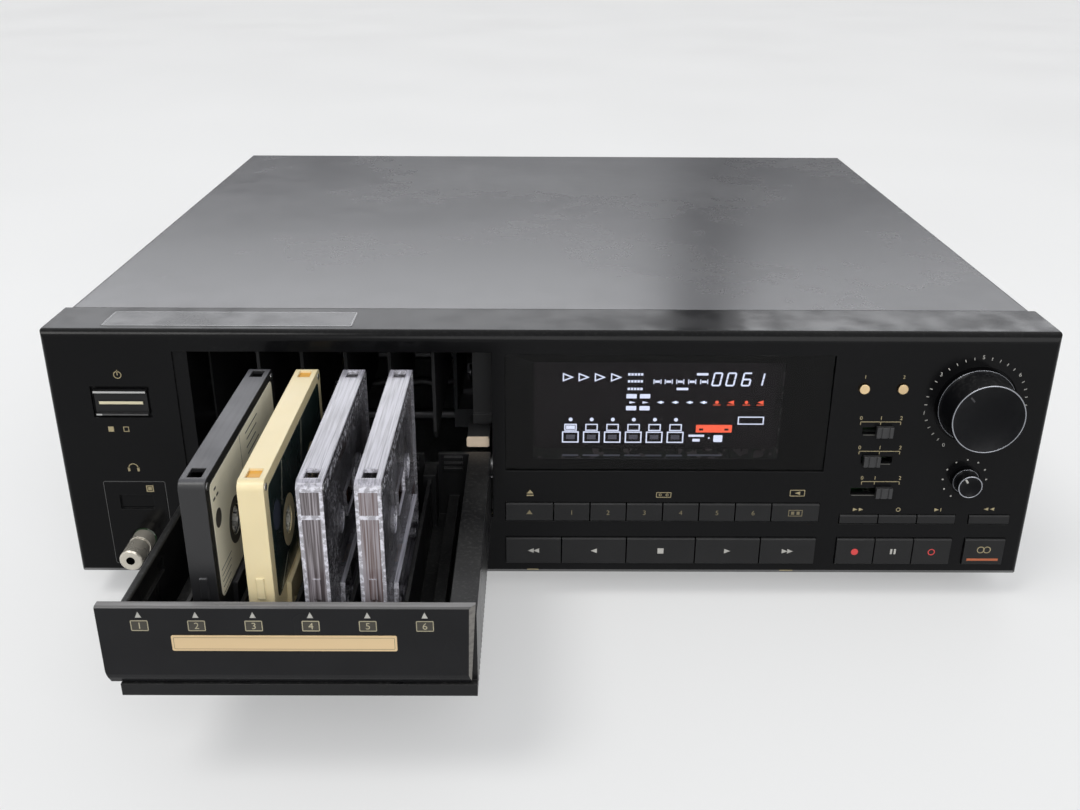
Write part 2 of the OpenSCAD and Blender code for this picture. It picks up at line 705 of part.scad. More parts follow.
// Strain relief of the mains cord: a flanged bush through the rear panel
module cord_gland() color("#202022") difference() {
    union() {
        rod_y(rear_y - 5, case_d + 6, gland_x, gland_z, gland_r * 0.8);
        rod_y(rear_face, case_d + 3, gland_x, gland_z, gland_r);
        rod_y(rear_y - 5, rear_y, gland_x, gland_z, gland_r);
    }
    rod_y(rear_y - 6, case_d + 7, gland_x, gland_z, cord_r);
}

// Small board at the left with the headphone socket and the power switch
module phones_board() color("#2f4a34") {
    difference() {
        block([left + 4, board_y, 4], [open_l - 3.2, board_y + board_t, panel_h - 5]);
        rod_y(board_y - 1, board_y + 4, phones_x, phones_z, plug_r + 1);
    }
    difference() {
        union() {
            block([phones_x - 7.5, board_y + board_t, phones_z - 7],
                [phones_x + 7.5, plug_l + 7, phones_z + 7]);
            rod_y(0.6, board_y + board_t, phones_x, phones_z, 5);
        }
        rod_y(-1, plug_l + 3, phones_x, phones_z, plug_r + run_gap);
    }
    block([side_x - 8, board_y - 5, power_z - 7], [side_x + 8, board_y, power_z + 7]);
}

// Adaptor from a large headphone plug to a small socket, plugged into the panel
module jack_adaptor() color("#b9b9bb") translate([phones_x, 0, phones_z]) rotate([-90, 0, 0])
    difference() {
        rotate_extrude() polygon([[0, -adaptor_l], [adaptor_r - 0.6, -adaptor_l],
            [adaptor_r, -adaptor_l + 0.6], [adaptor_r, -8.4], [adaptor_r - 0.8, -8.2],
            [adaptor_r - 0.8, -7], [adaptor_r, -6.8], [adaptor_r, -0.4], [plug_r, -0.4],
            [plug_r, 15], [plug_r - 0.3, 15.1], [plug_r - 0.3, 16], [plug_r, 16.1], [plug_r, 21],
            [plug_r - 0.3, 21.1], [plug_r - 0.3, 22], [plug_r, 22.1], [2.2, plug_l - 4],
            [plug_r - 0.2, plug_l - 2.4], [1, plug_l], [0, plug_l]]);
        translate([0, 0, -adaptor_l - 1]) cylinder(h = 15, r = socket_r);
    }

// Knob turned from a profile of radius and height, with its spindle, facing -y
module knob(x, z, foot, top, h, stem_r, stem_l) translate([x, 0, z]) rotate([90, 0, 0]) rotate_extrude()
    polygon([[0, -stem_l], [stem_r, -stem_l], [stem_r, 0.7], [foot, 0.7], [foot, 2.2],
        [foot - 0.5, 2.8], [top, h - 1], [top - 0.9, h], [top - 1.6, h], [top - 1.9, h - 0.3],
        [0, h - 0.3]]);

module level_knob() color("#131316") knob(level_x, level_z, level_r, level_r - 1.1, level_h, spindle_r, 12);

// The pointer is a narrow raised mark near the rim, a little left of the top
module balance_knob() color("#131316") {
    knob(balance_x, balance_z, balance_r, balance_r - 0.3, balance_h, small_spindle_r, 12);
    translate([balance_x, 0, balance_z]) rotate([0, -34, 0])
        block([-0.35, -balance_h - 0.1, balance_r - 3.4], [0.35, -balance_h + 0.35, balance_r - 1]);
}

// Power button: a cap with a raised bar and a stem to its switch
module power_button() color("#1c1c1f") {
    x0 = side_x - power_w / 2 + key_gap;
    x1 = side_x + power_w / 2 - key_gap;
    z0 = power_z - power_h / 2 + key_gap;
    z1 = power_z + power_h / 2 - key_gap;
    block([x0, 0.2, z0], [x1, 4.5, z1]);
    block([x0, -1, z1 - 1.2], [x1, 0.2, z1]);
    block([x0, -1, z0], [x1, 0.2, z0 + 1]);
    block([side_x - 9.4, -0.3, power_z - 0.8], [side_x + 9.4, 0.2, power_z + 0.8]);
    block([x0, plate_t + 0.3, z0 - 1.2], [x1, 4.5, z1 + 1.2]);
    block([side_x - 3, 4.5, power_z - 2], [side_x + 3, board_y - 5 - power_travel - seat_gap, power_z + 2]);
}

// Round counter button with a flange behind the panel
module dot_button(x) color("#d9b45c") {
    rod_y(-1.2, plate_t + 2, x, dot_z, dot_r);
    rod_y(plate_t + 0.3, plate_t + 1.5, x, dot_z, dot_r + 1);
    rod_y(plate_t + 1.5, plate_t + 8.2 - key_travel - seat_gap, x, dot_z, 1.4);
}

// Slide switch cap with a grip ridge and a stem into its switch
module switch_cap(i) color("#232327") {
    x = switch_x[i];
    z = switch_z[i];
    difference() {
        block([x - cap_w / 2, -2.4, z - cap_h / 2], [x + cap_w / 2, -0.3, z + cap_h / 2]);
        for (k = [-1, 1]) block([x + k * 1.6 - 0.4, -3, z - cap_h], [x + k * 1.6 + 0.4, -2, z + cap_h]);
    }
    block([x - 1.8, -0.3, z - slot_h / 2 + 0.4], [x + 1.8, board_y - 6.3, z + slot_h / 2 - 0.4]);
    block([x - 1.6, board_y - 6.3, z - 1.1], [x + 1.6, board_y - 2.4, z + 1.1]);
}

// Key cap of a row: soft front edges, a flange behind the panel and a stem to its switch
module key(x, z, w, h, proud) color("#1e1e21") {
    x0 = x + key_gap;
    x1 = x + w - key_gap;
    z0 = z + key_gap;
    z1 = z + h - key_gap;
    bevel = 0.5;
    profile_x(x0, x1) polygon([[-proud, z0 + bevel], [-proud + bevel, z0], [5, z0], [5, z1],
        [-proud + bevel, z1], [-proud, z1 - bevel]]);
    block([x0, plate_t + 0.3, z0 - 1.2], [x1, 5, z1 + 1.2]);
    block([(x0 + x1) / 2 - 2, 5, (z0 + z1) / 2 - 2],
        [(x0 + x1) / 2 + 2, plate_t + 8.2 - key_travel - seat_gap, (z0 + z1) / 2 + 2]);
}

module small_key(i) key(key_x0 + run_sum(small_row, i), small_row_z, small_row[i], small_key_h, 0.8);

module large_key(i) key(key_x0 + run_sum(large_row, i), large_row_z, large_row[i], large_key_h, 1.2);

module group_key(i, z, h, proud) key(group_x + i * group_key_w, z, group_key_w, h, proud);

// Moulded tray: floor, walls, a raised rail under each cassette, dividers, end posts, a tongue behind
// each slot, a rack along its right edge and a runner at each side behind the panel
module tray() color("#232326") run_out() {
    y0 = front_t;
    inner_l = tray_l + wall_t;
    inner_r = tray_r - wall_t;
    difference() {
        union() {
            block([tray_l, y0, tray_z], [tray_r, tray_back, tray_z + tray_floor]);
            block([tray_l, y0, tray_z], [inner_l, tray_back, tray_top - 1]);
            profile_y(y0, tray_back) round_rect(tray_l, tray_top - 6, inner_l, tray_top, 1);
            block([inner_r, y0, tray_z], [tray_r, tray_back, tray_top]);
            block([tray_r - 9.2, y0 + 1, tray_top - wall_t], [tray_r, tray_back, tray_top]);
            block([tray_r - rack_w, y0, tray_z], [tray_r, rack_end, tray_z + 4]);
            block([tray_l, y0, tray_z], [tray_r, y0 + 2, tray_top - 1]);
            block([tray_l, 0.6, tray_z], [tray_r, y0 + 1, tray_z + lip_h]);
            block([tray_l, back_wall_y, tray_z], [tray_r, tray_back, tray_top]);
        }
        for (i = [1:slots - 1]) block([gap_x(i) - 3, back_wall_y - 1, fin_z - 1.5],
            [gap_x(i) + 3, tray_back + 1, tray_top + 1]);
        block([inner_l - 1.4, 22, tray_top - 10], [inner_l + 1, 46, tray_top - 4]);
        translate([0, 0, pitch_z]) profile_x(tray_r - rack_w, tray_r + 1) intersection() {
            translate([pinion_y + travel, 0]) rack_gaps(rack_m, -travel - pinion_y, 7);
            rect(5, -2 * rack_m, rack_end + 1, 2 * rack_m);
        }
    }
    for (i = [1:slots]) {
        block([slot_x(i) - 2.2, y0 + 2, tray_z + tray_floor], [slot_x(i) + 2.2, back_wall_y, seat_z]);
        for (k = [0:2]) translate([slot_x(i), back_wall_y, seat_z + 12.5 + k * 2.6])
            block([-4, -1.4, 0], [4, 0, 1.2]);
    }
    for (i = [1:slots - 1]) {
        block([gap_x(i) - fin_t / 2, y0 + 2, tray_z + tray_floor],
            [gap_x(i) + fin_t / 2, back_wall_y, tray_z + divider_h]);
        for (y = [[y0 + 2, tape_y0 + 3], [back_wall_y - 11, back_wall_y]])
            block([gap_x(i) - 2.6, y[0], tray_z + tray_floor],
                [gap_x(i) + 2.6, y[1], tray_z + divider_h + 2]);
    }
    block([tray_l - runner_w, tray_back - 4, runner_z], [tray_l, runner_y1, runner_z + runner_h]);
    block([tray_r - rack_w, tray_back, tray_z + 4], [tray_r, runner_y0 + 6, runner_z + runner_h]);
    block([tray_r, runner_y0, runner_z], [tray_r + runner_w, runner_y1, runner_z + runner_h]);
}

// Front of the drawer: a plain face that rolls back under its lower edge. Its right end leans inwards and
// has a facet that widens upwards, and its lower left corner is cut off.
module tray_front() color("#26262a") run_out() {
    z0 = tray_z + lip_h + groove_h;
    z1 = tray_z + front_h;
    end = open_r - front_margin - 0.2;
    facet = 2;
    difference() {
        profile_x(open_l + front_margin, open_r - front_margin) polygon([[0, z0 + bevel_h],
            [0.4, z0 + bevel_h * 0.6], [1.5, z0], [front_t, z0], [front_t, z1], [0.7, z1], [0, z1 - 0.5]]);
        translate([end, 0, z1]) rotate([0, 3.3, 0]) block([0, -1, -front_h - 2], [6, front_t + 2, 3]);
        translate([end - facet, 0, z1]) rotate([0, 0.9, -45]) block([0, -8, -front_h - 2], [6, 8, 3]);
        translate([open_l + front_margin + 0.9, -1, z0]) rotate([0, -10, 0])
            block([-6, 0, -6], [0, front_t + 2, 9]);
    }
}

// Channels for the tray's runners on stands, and bearing plates for the drive
module tray_rails() color("#9a9a9e") {
    low = runner_z - seat_gap - lip_t;
    l_wall = tray_l - runner_w - seat_gap - rail_t;
    r_wall = tray_r + runner_w + seat_gap + rail_t;
    block([l_wall, rail_y0, low], [l_wall + rail_t, rail_y1, rail_top]);
    for (z = [low, rail_top - lip_t]) block([l_wall, rail_y0, z], [tray_l - 0.4, rail_y1, z + lip_t]);
    block([l_wall, rail_y0, floor_z], [l_wall + rail_t, rod_y[0] - 10, low]);
    block([r_wall - rail_t, rail_y0, low], [r_wall, rail_y1, rail_top]);
    for (z = [low, rail_top - lip_t]) block([tray_r + 0.4, rail_y0, z], [r_wall, rail_y1, z + lip_t]);
    block([r_wall - rail_t, motor_y + 18, floor_z], [r_wall, rod_y[0] - 10, low]);
    block([l_wall - 8, rail_y0, floor_z], [l_wall, rod_y[0] - 10, floor_z + 1.6]);
    block([r_wall, motor_y + 18, floor_z], [r_wall + 8, rod_y[0] - 10, floor_z + 1.6]);
    difference() {
        union() {
            for (x = [tray_r - 7.8, tray_r + 1.8]) profile_x(x, x + 1.6)
                polygon([[pinion_y - 5, 6], [panel_d + 1, 6], [panel_d + 1, floor_z],
                    [pulley_y + 5, floor_z], [pulley_y + 5, pinion_z - 4], [pinion_y + 5, pinion_z + 4],
                    [pinion_y - 5, pinion_z + 4]]);
            block([disc_x + disc_w + 0.6, pulley_y - 5, floor_z],
                [disc_x + disc_w + 2.2, pulley_y + 5, pulley_z + 5]);
            block([tray_r - 12, panel_d + 1, floor_z],
                [disc_x + disc_w + 6, pulley_y + 5, floor_z + 1.6]);
        }
        rod_x(tray_r - 12, tray_r + 4.5, pinion_y, pinion_z, shaft_r + run_gap);
        rod_x(tray_r, disc_x + 12, pulley_y, pulley_z, shaft_r + run_gap);
    }
}

// Pinion under the rack, with a large gear on the same shaft outside the tray
module drive_pinion() color("#e4e1d6") translate([0, pinion_y, pinion_z]) {
    mid = tray_r - rack_w / 2;
    profile_x(mid - pinion_w / 2, mid + pinion_w / 2) rotate(90) gear_outline(rack_m, pinion_n);
    profile_x(wheel_x, wheel_x + wheel_w) rotate(train_angle) gear_outline(gear_m, wheel_n);
    rod_x(tray_r - 8.6, wheel_x + wheel_w, 0, 0, shaft_r);
    rod_x(mid + pinion_w / 2, tray_r + 1.4, 0, 0, 3);
    rod_x(tray_r + 3.8, wheel_x, 0, 0, 3);
}

// Belt pulley with the small gear that drives the large one
module drive_pulley() color("#e4e1d6") translate([0, pulley_y, pulley_z]) {
    profile_x(wheel_x, wheel_x + wheel_w) rotate(train_angle + 180 + 180 / small_n)
        gear_outline(gear_m, small_n);
    rod_x(wheel_x + wheel_w, disc_x, 0, 0, 4);
    translate([disc_x, 0, 0]) rotate([0, 90, 0]) rotate_extrude() polygon([[0, 0], [pulley_r, 0],
        [groove_r, 1], [groove_r, disc_w - 1], [pulley_r, disc_w], [0, disc_w]]);
    rod_x(tray_r + 1, disc_x + disc_w + 3, 0, 0, shaft_r);
    rod_x(tray_r + 3.8, wheel_x, 0, 0, 3);
    rod_x(disc_x + disc_w, disc_x + disc_w + 0.3, 0, 0, 3);
}

// Flat rubber belt round the pulley and the motor's own pulley
module drive_belt() color("#1c1c1c") {
    d = norm([motor_y - pulley_y, motor_z - pulley_z]);
    a = atan2(motor_z - pulley_z, motor_y - pulley_y);
    gap = 0.12;
    translate([0, pulley_y, pulley_z]) profile_x(belt_x - belt_w / 2, belt_x + belt_w / 2) rotate(a)
        belt_outline(groove_r + gap, motor_groove_r, d, belt_t);
}

// Motor with its pulley, held by a saddle on the chassis
module tray_motor() color("#b4b4b6") translate([0, motor_y, 0]) {
    x1 = wheel_x - 0.6;
    x0 = x1 - 22;
    rod_x(x0, x1, 0, motor_z, motor_r);
    rod_x(x0 - 1.5, x0 + 1, 0, motor_z, 3);
    rod_x(x1 - 1, disc_x + disc_w - 0.4, 0, motor_z, 1);
    translate([disc_x, 0, motor_z]) rotate([0, 90, 0]) rotate_extrude()
        polygon([[0.9, 0], [motor_pulley_r, 0], [motor_groove_r, 1], [motor_groove_r, disc_w - 1],
            [motor_pulley_r, disc_w], [0.9, disc_w]]);
    block([x0 + 3, -motor_r - 3, floor_z], [x1 - 4, motor_r + 3, motor_z - 3]);
}

// Fixed guide over the tray: a roof with a fin between each two slots, a cheek at each side and a pad
// on a tongue that holds the tray's rim down
module cassette_guide() color("#1f1f22") {
    l_x = tray_l - runner_w - seat_gap - rail_t;
    r_x = open_r + 3;
    top = guide_z + guide_t;
    end_z = tray_top + 6.4;
    pad_y0 = 6;
    block([open_l + 0.4, guide_y0, guide_z], [r_x, guide_y1, top]);
    block([l_x, panel_d + 0.5, guide_z], [open_l + 0.4, guide_y1, top]);
    for (i = [1:slots - 1]) profile_x(gap_x(i) - fin_t / 2, gap_x(i) + fin_t / 2)
        polygon([[guide_y0 + 2, top], [guide_y0 + 2, fin_z + 4], [guide_y0 + 5, fin_z],
            [guide_y1 - 16, fin_z], [guide_y1 - 10, fin_z + 8], [guide_y1 - 10, top]]);
    block([l_x, panel_d + 0.5, rail_top], [l_x + guide_t, guide_y1, guide_z]);
    block([r_x - end_block_w, guide_y0, end_z], [r_x, guide_y0 + guide_t, guide_z]);
    block([r_x - end_block_w, guide_y0, end_z], [r_x - end_block_w + guide_t, guide_y1, guide_z]);
    block([r_x - end_block_w, guide_y0 - 1.2, end_z], [r_x - 1, guide_y0, end_z + 4.2]);
    block([r_x - guide_t, rail_y0 + 1, rail_top], [r_x, guide_y1, guide_z]);
    block([r_x - end_block_w, guide_y0, end_z], [r_x, rail_y0 + 8, end_z + guide_t]);
    block([r_x - end_block_w - 2, pad_y0, tray_top + seat_gap], [r_x - 4.4, guide_y0 + 9, tray_top + 5]);
    block([r_x - end_block_w, guide_y0 + 1, tray_top + 4], [r_x - 4.4, guide_y0 + 9, end_z + 1]);
}

// Two rods that the carriage slides on, between end plates that also hold the lead screw
module guide_rods() color("#c4c6c8") {
    for (y = rod_y) rod_x(plate_x[0], plate_x[1], y, rod_z, rod_r);
    for (i = [0, 1]) difference() {
        union() {
            block([plate_x[i] - 1, rod_y[0] - 8, floor_z], [plate_x[i] + 1, rod_y[1] + 8, rod_z + 8]);
            block([plate_x[i] - (i == 0 ? 9 : 1), rod_y[0] - 8, floor_z],
                [plate_x[i] + (i == 0 ? 1 : 6.5), rod_y[1] + 8, floor_z + 1.6]);
        }
        rod_x(plate_x[i] - 2, plate_x[i] + 2, screw_y, rod_z, journal_r + run_gap);
    }
}

// Screw with one start and one turn to each slot, its journals in the end plates
module lead_screw() color("#d0d0d2") translate([0, screw_y, rod_z]) {
    x0 = plate_x[0] + 4;
    x1 = plate_x[1] - 4;
    turns = (x1 - x0) / slot_pitch;
    translate([x0, 0, 0]) rotate([90, 0, 90])
        linear_extrude(x1 - x0, twist = 360 * turns, slices = ceil(turns * 12), $fn = 12)
            translate([0.7, 0]) circle(screw_r - 0.7);
    rod_x(plate_x[0] - 1.6, x0, 0, 0, journal_r);
    rod_x(x1, plate_x[1] + 1.6, 0, 0, journal_r);
    rod_x(plate_x[0] + 1.4, x0 + 1, 0, 0, screw_r);
    rod_x(x1 - 1, plate_x[1] - 1.4, 0, 0, screw_r);
}

// Carriage: a base on the rods, a narrow chamber that takes one cassette and a deck with the reel motor
module carriage() color("#34363a") {
    x = slot_x(slots);
    in0 = x - chamber_w / 2;
    in1 = x + chamber_w / 2;
    top = tape_top + 1.2;
    hub_z = seat_z + 34.4;
    hub_y = (chamber_y0 + chamber_y1) / 2;
    difference() {
        block([carriage_x0, chamber_y0, base_z0], [carriage_x1, chamber_y1, base_z1]);
        for (y = rod_y) rod_x(carriage_x0 - 1, carriage_x1 + 1, y, rod_z, rod_r + run_gap);
        rod_x(carriage_x0 - 1, carriage_x1 + 1, screw_y, rod_z, screw_r + 0.4);
        for (y = [[rod_y[0] + 8, screw_y - 9], [screw_y + 9, rod_y[1] - 8]])
            block([in1 + 5, y[0], base_z0 - 1], [carriage_x1 - 4, y[1], base_z1 + 1]);
    }
    difference() {
        union() {
            block([in0 - chamber_wall, chamber_y0, base_z1], [in0, chamber_y1, top]);
            block([in1, chamber_y0, base_z1], [in1 + chamber_wall, chamber_y1, top]);
            block([in0 - chamber_wall, chamber_y0, top], [in1 + chamber_wall, chamber_y1, top + 1.6]);
            block([in0 - chamber_wall, chamber_y1, base_z0],
                [in1 + chamber_wall, chamber_y1 + 1.6, top + 1.6]);
        }
        for (s = [-1, 1]) rod_x(in1 - 1, in1 + chamber_wall + 1, hub_y + s * 21.25, hub_z, 5);
        block([in0 - chamber_wall - 1, chamber_y0 + 24, hub_z - 14], [in0 + 1, chamber_y1 - 24, hub_z + 14]);
    }
    for (s = [-1, 1]) {
        rod_x(in1 + chamber_wall, in1 + chamber_wall + 4, hub_y + s * 21.25, hub_z, 7);
        rod_x(in1 + 0.5, in1 + chamber_wall, hub_y + s * 21.25, hub_z, 3);
    }
    rod_x(in1 + chamber_wall, in1 + chamber_wall + 20, hub_y, hub_z - 20, 10);
    for (y = [hub_y - 24, hub_y + 24]) rod_z(base_z1, seat_z - 4, x, y, 1.5);
    for (s = [-1, 1]) block([in1 + chamber_wall, hub_y + s * 30 - 1, base_z1],
        [in1 + chamber_wall + 3.4, hub_y + s * 30 + 1, runner_z - 3]);
}

// Head block: a plate on two pins with the head between two pinch rollers
module head_block() color("#9aa0a6") {
    x = slot_x(slots);
    hub_y = (chamber_y0 + chamber_y1) / 2;
    z0 = base_z1;
    difference() {
        block([x - 6, hub_y - 30, z0], [x + 6, hub_y + 30, z0 + 3]);
        for (y = [hub_y - 24, hub_y + 24]) rod_z(z0 - 1, z0 + 4, x, y, 1.5 + run_gap);
    }
    profile_x(x - 5, x + 5) polygon([[hub_y - 6, z0 + 3], [hub_y + 6, z0 + 3], [hub_y + 6, z0 + 9],
        [hub_y + 3, z0 + 12.5], [hub_y - 3, z0 + 12.5], [hub_y - 6, z0 + 9]]);
    for (s = [-1, 1]) {
        rod_x(x - 3, x + 3, hub_y + s * 15, z0 + 7.4, 4.2);
        block([x + 3, hub_y + s * 15 - 2, z0 + 3], [x + 5, hub_y + s * 15 + 2, z0 + 9]);
    }
}

// Half section of the space inside a cassette's shell, in y and z from its lower near corner
module tape_space() {
    rim = 1.6;
    round_rect(rim, 14, tape_l - rim, tape_h - rim, 1.2);
    rect(20, 6, tape_l - 20, 15);
}

// One cassette standing on its head edge in a slot: a hollow shell with hub holes, a window, guide holes,
// openings along the head edge and record tabs on top, and two toothed hubs inside
module cassette(slot) run_out() translate([slot_x(slot), tape_y0, seat_z]) {
    mid = tape_l / 2;
    hub_z = 34.4;
    cavity = tape_t / 2 - 1.1;
    tab_l = 6.6;
    tab_w = 4.8;
    difference() {
        union() {
            profile_x(-tape_t / 2, tape_t / 2) round_rect(0, 0, tape_l, tape_h, 3);
            profile_x(-head_t / 2, head_t / 2) polygon([[mid - 36, 0.4], [mid + 36, 0.4],
                [mid + 33, 15.5], [mid - 33, 15.5]]);
            for (y = [-0.5, tape_l]) block([-1.3, y, 20], [1.3, y + 0.5, 28]);
        }
        profile_x(-cavity, cavity) tape_space();
        for (s = [-1, 1]) {
            rod_x(-tape_t, tape_t, mid + s * 21.25, hub_z, hub_hole_r);
            block([-tab_w / 2, mid + s * 43 - tab_l / 2, tape_h - 5.5],
                [tab_w / 2, mid + s * 43 + tab_l / 2, tape_h + 1]);
            rod_x(-head_t, head_t, mid + s * 30.5, 6, 2.6);
            rod_x(-head_t, head_t, mid + s * 21, 4.6, 2);
            block([-3.4, mid + s * 14.5 - 4.5, -1], [3.4, mid + s * 14.5 + 4.5, 7]);
        }
        block([-3.4, mid - 7, -1], [3.4, mid + 7, 7]);
        block([-tape_t, mid - 10, hub_z - 5], [tape_t, mid + 10, hub_z + 5]);
    }
    for (s = [-1, 1]) translate([0, mid + s * 21.25, hub_z]) difference() {
        union() {
            rod_x(-cavity + 0.1, cavity - 0.1, 0, 0, 11);
            rod_x(-tape_t / 2 + 0.4, tape_t / 2 - 0.4, 0, 0, hub_hole_r - 0.25);
        }
        profile_x(-tape_t, tape_t) difference() {
            circle(hub_hole_r - 0.9);
            for (a = [0:60:300]) rotate(a) rect(hub_hole_r - 2.4, -0.6, hub_hole_r, 0.6);
        }
    }
}

place() chassis();
place() top_cover();
place() rear_panel();
place() front_panel();
place() display_window();
place() display_tube();
place() control_board();
place() main_board();
place() power_transformer();
place() feet();
place() case_screws();
place() rear_jacks();
place() cord_gland();
place() phones_board();
place() jack_adaptor();
place() level_knob();
place() balance_knob();
place() power_button();
place() dot_button(dot_x[0]);  // counter_button_left
place() dot_button(dot_x[1]);  // counter_button_right
place() switch_cap(0);  // switch_upper
place() switch_cap(1);  // switch_middle
place() switch_cap(2);  // switch_lower
place() small_key(0);  // open_key
for (i = [1:6]) place() small_key(i);
place() small_key(7);  // return_key
place() large_key(0);  // rewind_key
place() large_key(1);  // reverse_play_key
place() large_key(2);  // stop_key
place() large_key(3);  // play_key
place() large_key(4);  // forward_key
place() group_key(0, slim_row_z, slim_key_h, 0.6);  // relay_key
place() group_key(1, slim_row_z, slim_key_h, 0.6);  // random_key
place() group_key(2, slim_row_z, slim_key_h, 0.6);  // scan_key
place() key(lone_x, slim_row_z, lone_key_w, slim_key_h, 0.6);  // tape_rewind_key
place() group_key(0, large_row_z, large_key_h, 1.2);  // record_key
place() group_key(1, large_row_z, large_key_h, 1.2);  // pause_key
place() group_key(2, large_row_z, large_key_h, 1.2);  // mute_key
place() key(lone_x, large_row_z, lone_key_w, large_key_h, 1.2);  // sync_key
place() tray();
place() tray_front();
place() tray_rails();
place() drive_pinion();
place() drive_pulley();
place() drive_belt();
place() tray_motor();
place() cassette_guide();
place() guide_rods();
place() lead_screw();
place() carriage();
place() head_block();
place() color("#26272a") cassette(2);  // cassette_black
place() color("#e6d6a0") cassette(3);  // cassette_cream
place() color("#b9b7b8") cassette(4);  // cassette_clear_a
place() color("#b9b7b8") cassette(5);  // cassette_clear_b
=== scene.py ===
"""Looks of the cassette changer deck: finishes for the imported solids, print, display, labels and studio."""

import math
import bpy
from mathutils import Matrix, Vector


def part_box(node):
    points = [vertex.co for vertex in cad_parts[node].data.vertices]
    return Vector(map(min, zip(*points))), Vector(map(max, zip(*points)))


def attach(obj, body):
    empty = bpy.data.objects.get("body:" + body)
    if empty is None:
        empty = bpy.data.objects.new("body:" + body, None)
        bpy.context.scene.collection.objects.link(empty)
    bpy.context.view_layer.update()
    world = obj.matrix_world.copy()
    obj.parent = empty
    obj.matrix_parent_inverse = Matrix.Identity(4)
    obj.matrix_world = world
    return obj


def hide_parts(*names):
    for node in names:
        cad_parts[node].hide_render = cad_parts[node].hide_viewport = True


bl_info = {
    "name": "Cassette Changer Deck",
    "version": (1, 0, 0),
    "blender": (4, 5, 0),
    "location": "View3D > Sidebar > Deck",
    "description": "Dresses the packed deck with its finishes, print, lit display, cassette labels and knobs",
    "category": "Add Mesh",
}

import bpy
import numpy as np
from bpy.props import FloatProperty, FloatVectorProperty, PointerProperty
from mathutils import Matrix, Vector
from mathutils.geometry import tessellate_polygon

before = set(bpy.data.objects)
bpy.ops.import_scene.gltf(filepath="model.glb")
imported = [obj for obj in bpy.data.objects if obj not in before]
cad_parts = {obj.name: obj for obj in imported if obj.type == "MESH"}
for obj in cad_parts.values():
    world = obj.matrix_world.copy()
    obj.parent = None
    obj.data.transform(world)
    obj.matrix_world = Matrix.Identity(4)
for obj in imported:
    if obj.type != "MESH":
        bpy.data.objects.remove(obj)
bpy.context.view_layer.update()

MM = 0.001
TAU = 2 * math.pi

# The panel's face, lower edge and middle carry every measure below, in millimetres
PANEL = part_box("front_panel")
ZERO = np.array([(PANEL[0].x + PANEL[1].x) / 2, PANEL[0].y, PANEL[0].z])
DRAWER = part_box("tray_front")
DRAWER_Y = (DRAWER[0].y - ZERO[1]) / MM
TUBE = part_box("display_tube")
TUBE_Y = (TUBE[0].y - ZERO[1]) / MM
CASSETTES = ("cassette_black", "cassette_cream", "cassette_clear_a", "cassette_clear_b")
# Standard cassette: half its thickness, the lug past its outline at each end, its middle along,
# and the height of its hubs and their places along
SHELL_HALF = 4.35
SHELL_LUG = 0.5
SHELL_MIDDLE = 50.2
HUB_REACH = 21.25
HUB_LEVEL = 34.4
HUBS = (SHELL_MIDDLE - HUB_REACH, SHELL_MIDDLE + HUB_REACH)
# How far each switch's slot runs past its cap on the left and the right, and half the slot's height
SWITCH_ROOM = {"switch_upper": (5.0, 0.0), "switch_middle": (0.0, 5.0), "switch_lower": (10.0, 0.0)}
SLOT_HALF = 1.7
# Print starts this far behind the face that carries it
SUNK = 0.01
METAL = {"Metallic": 1.0}


def inner_box(node):
    """Lowest and highest corner of a node, in millimetres from the panel's zero point."""
    low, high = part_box(node)
    return (np.array(low) - ZERO) / MM, (np.array(high) - ZERO) / MM


def face_centre(node):
    """Middle (u, v) of a node seen from the front, and the y of its nearest face."""
    low, high = inner_box(node)
    return (low[0] + high[0]) / 2, (low[2] + high[2]) / 2, low[1]


def placed(points):
    """Points in millimetres from the panel's zero point, as metres in the frame."""
    return np.asarray(points, float) * MM + ZERO


# Flat outlines: arrays of (u, v) that run anticlockwise


def box_loop(u0, v0, u1, v1, r=0.0):
    """Rectangle whose corners are quarter circles of radius r: corner + r (cos a, sin a)."""
    if r <= 0:
        return np.array([(u0, v0), (u1, v0), (u1, v1), (u0, v1)], float)
    quarter = np.linspace(0, TAU / 4, 5)
    corners = ((u1 - r, v0 + r), (u1 - r, v1 - r), (u0 + r, v1 - r), (u0 + r, v0 + r))
    turns = [quarter + k * TAU / 4 for k in (-1, 0, 1, 2)]
    return np.concatenate(
        [np.stack([u + r * np.cos(a), v + r * np.sin(a)], 1) for (u, v), a in zip(corners, turns)]
    )


def disc_loop(u, v, r, sides=32):
    """Points (u + r cos a, v + r sin a) for even steps of a."""
    a = np.arange(sides) * TAU / sides
    return np.stack([u + r * np.cos(a), v + r * np.sin(a)], 1)


def wedge_loop(u, v, width, height):
    """Triangle centred on (u, v) that points along +u, or along -u where the width is negative."""
    loop = np.array([(u - width / 2, v - height / 2), (u + width / 2, v), (u - width / 2, v + height / 2)])
    return loop if width > 0 else loop[::-1]


def up_loop(u, v, width, height):
    """Triangle centred on (u, v) that points along +v."""
    return np.array([(u - width / 2, v - height / 2), (u + width / 2, v - height / 2), (u, v + height / 2)])


def shrunk(loop, edge):
    """The outline moved inwards by edge: each point slides along the mean of its two sides' normals."""
    ahead = np.roll(loop, -1, 0) - loop
    behind = loop - np.roll(loop, 1, 0)
    ahead = ahead / np.linalg.norm(ahead, axis=1, keepdims=True)
    behind = behind / np.linalg.norm(behind, axis=1, keepdims=True)
    normal = np.stack([-(ahead[:, 1] + behind[:, 1]), ahead[:, 0] + behind[:, 0]], 1)
    normal /= np.linalg.norm(normal, axis=1, keepdims=True)
    across = np.stack([-ahead[:, 1], ahead[:, 0]], 1)
    return loop + normal * edge / np.clip((normal * across).sum(1, keepdims=True), 0.3, 1)


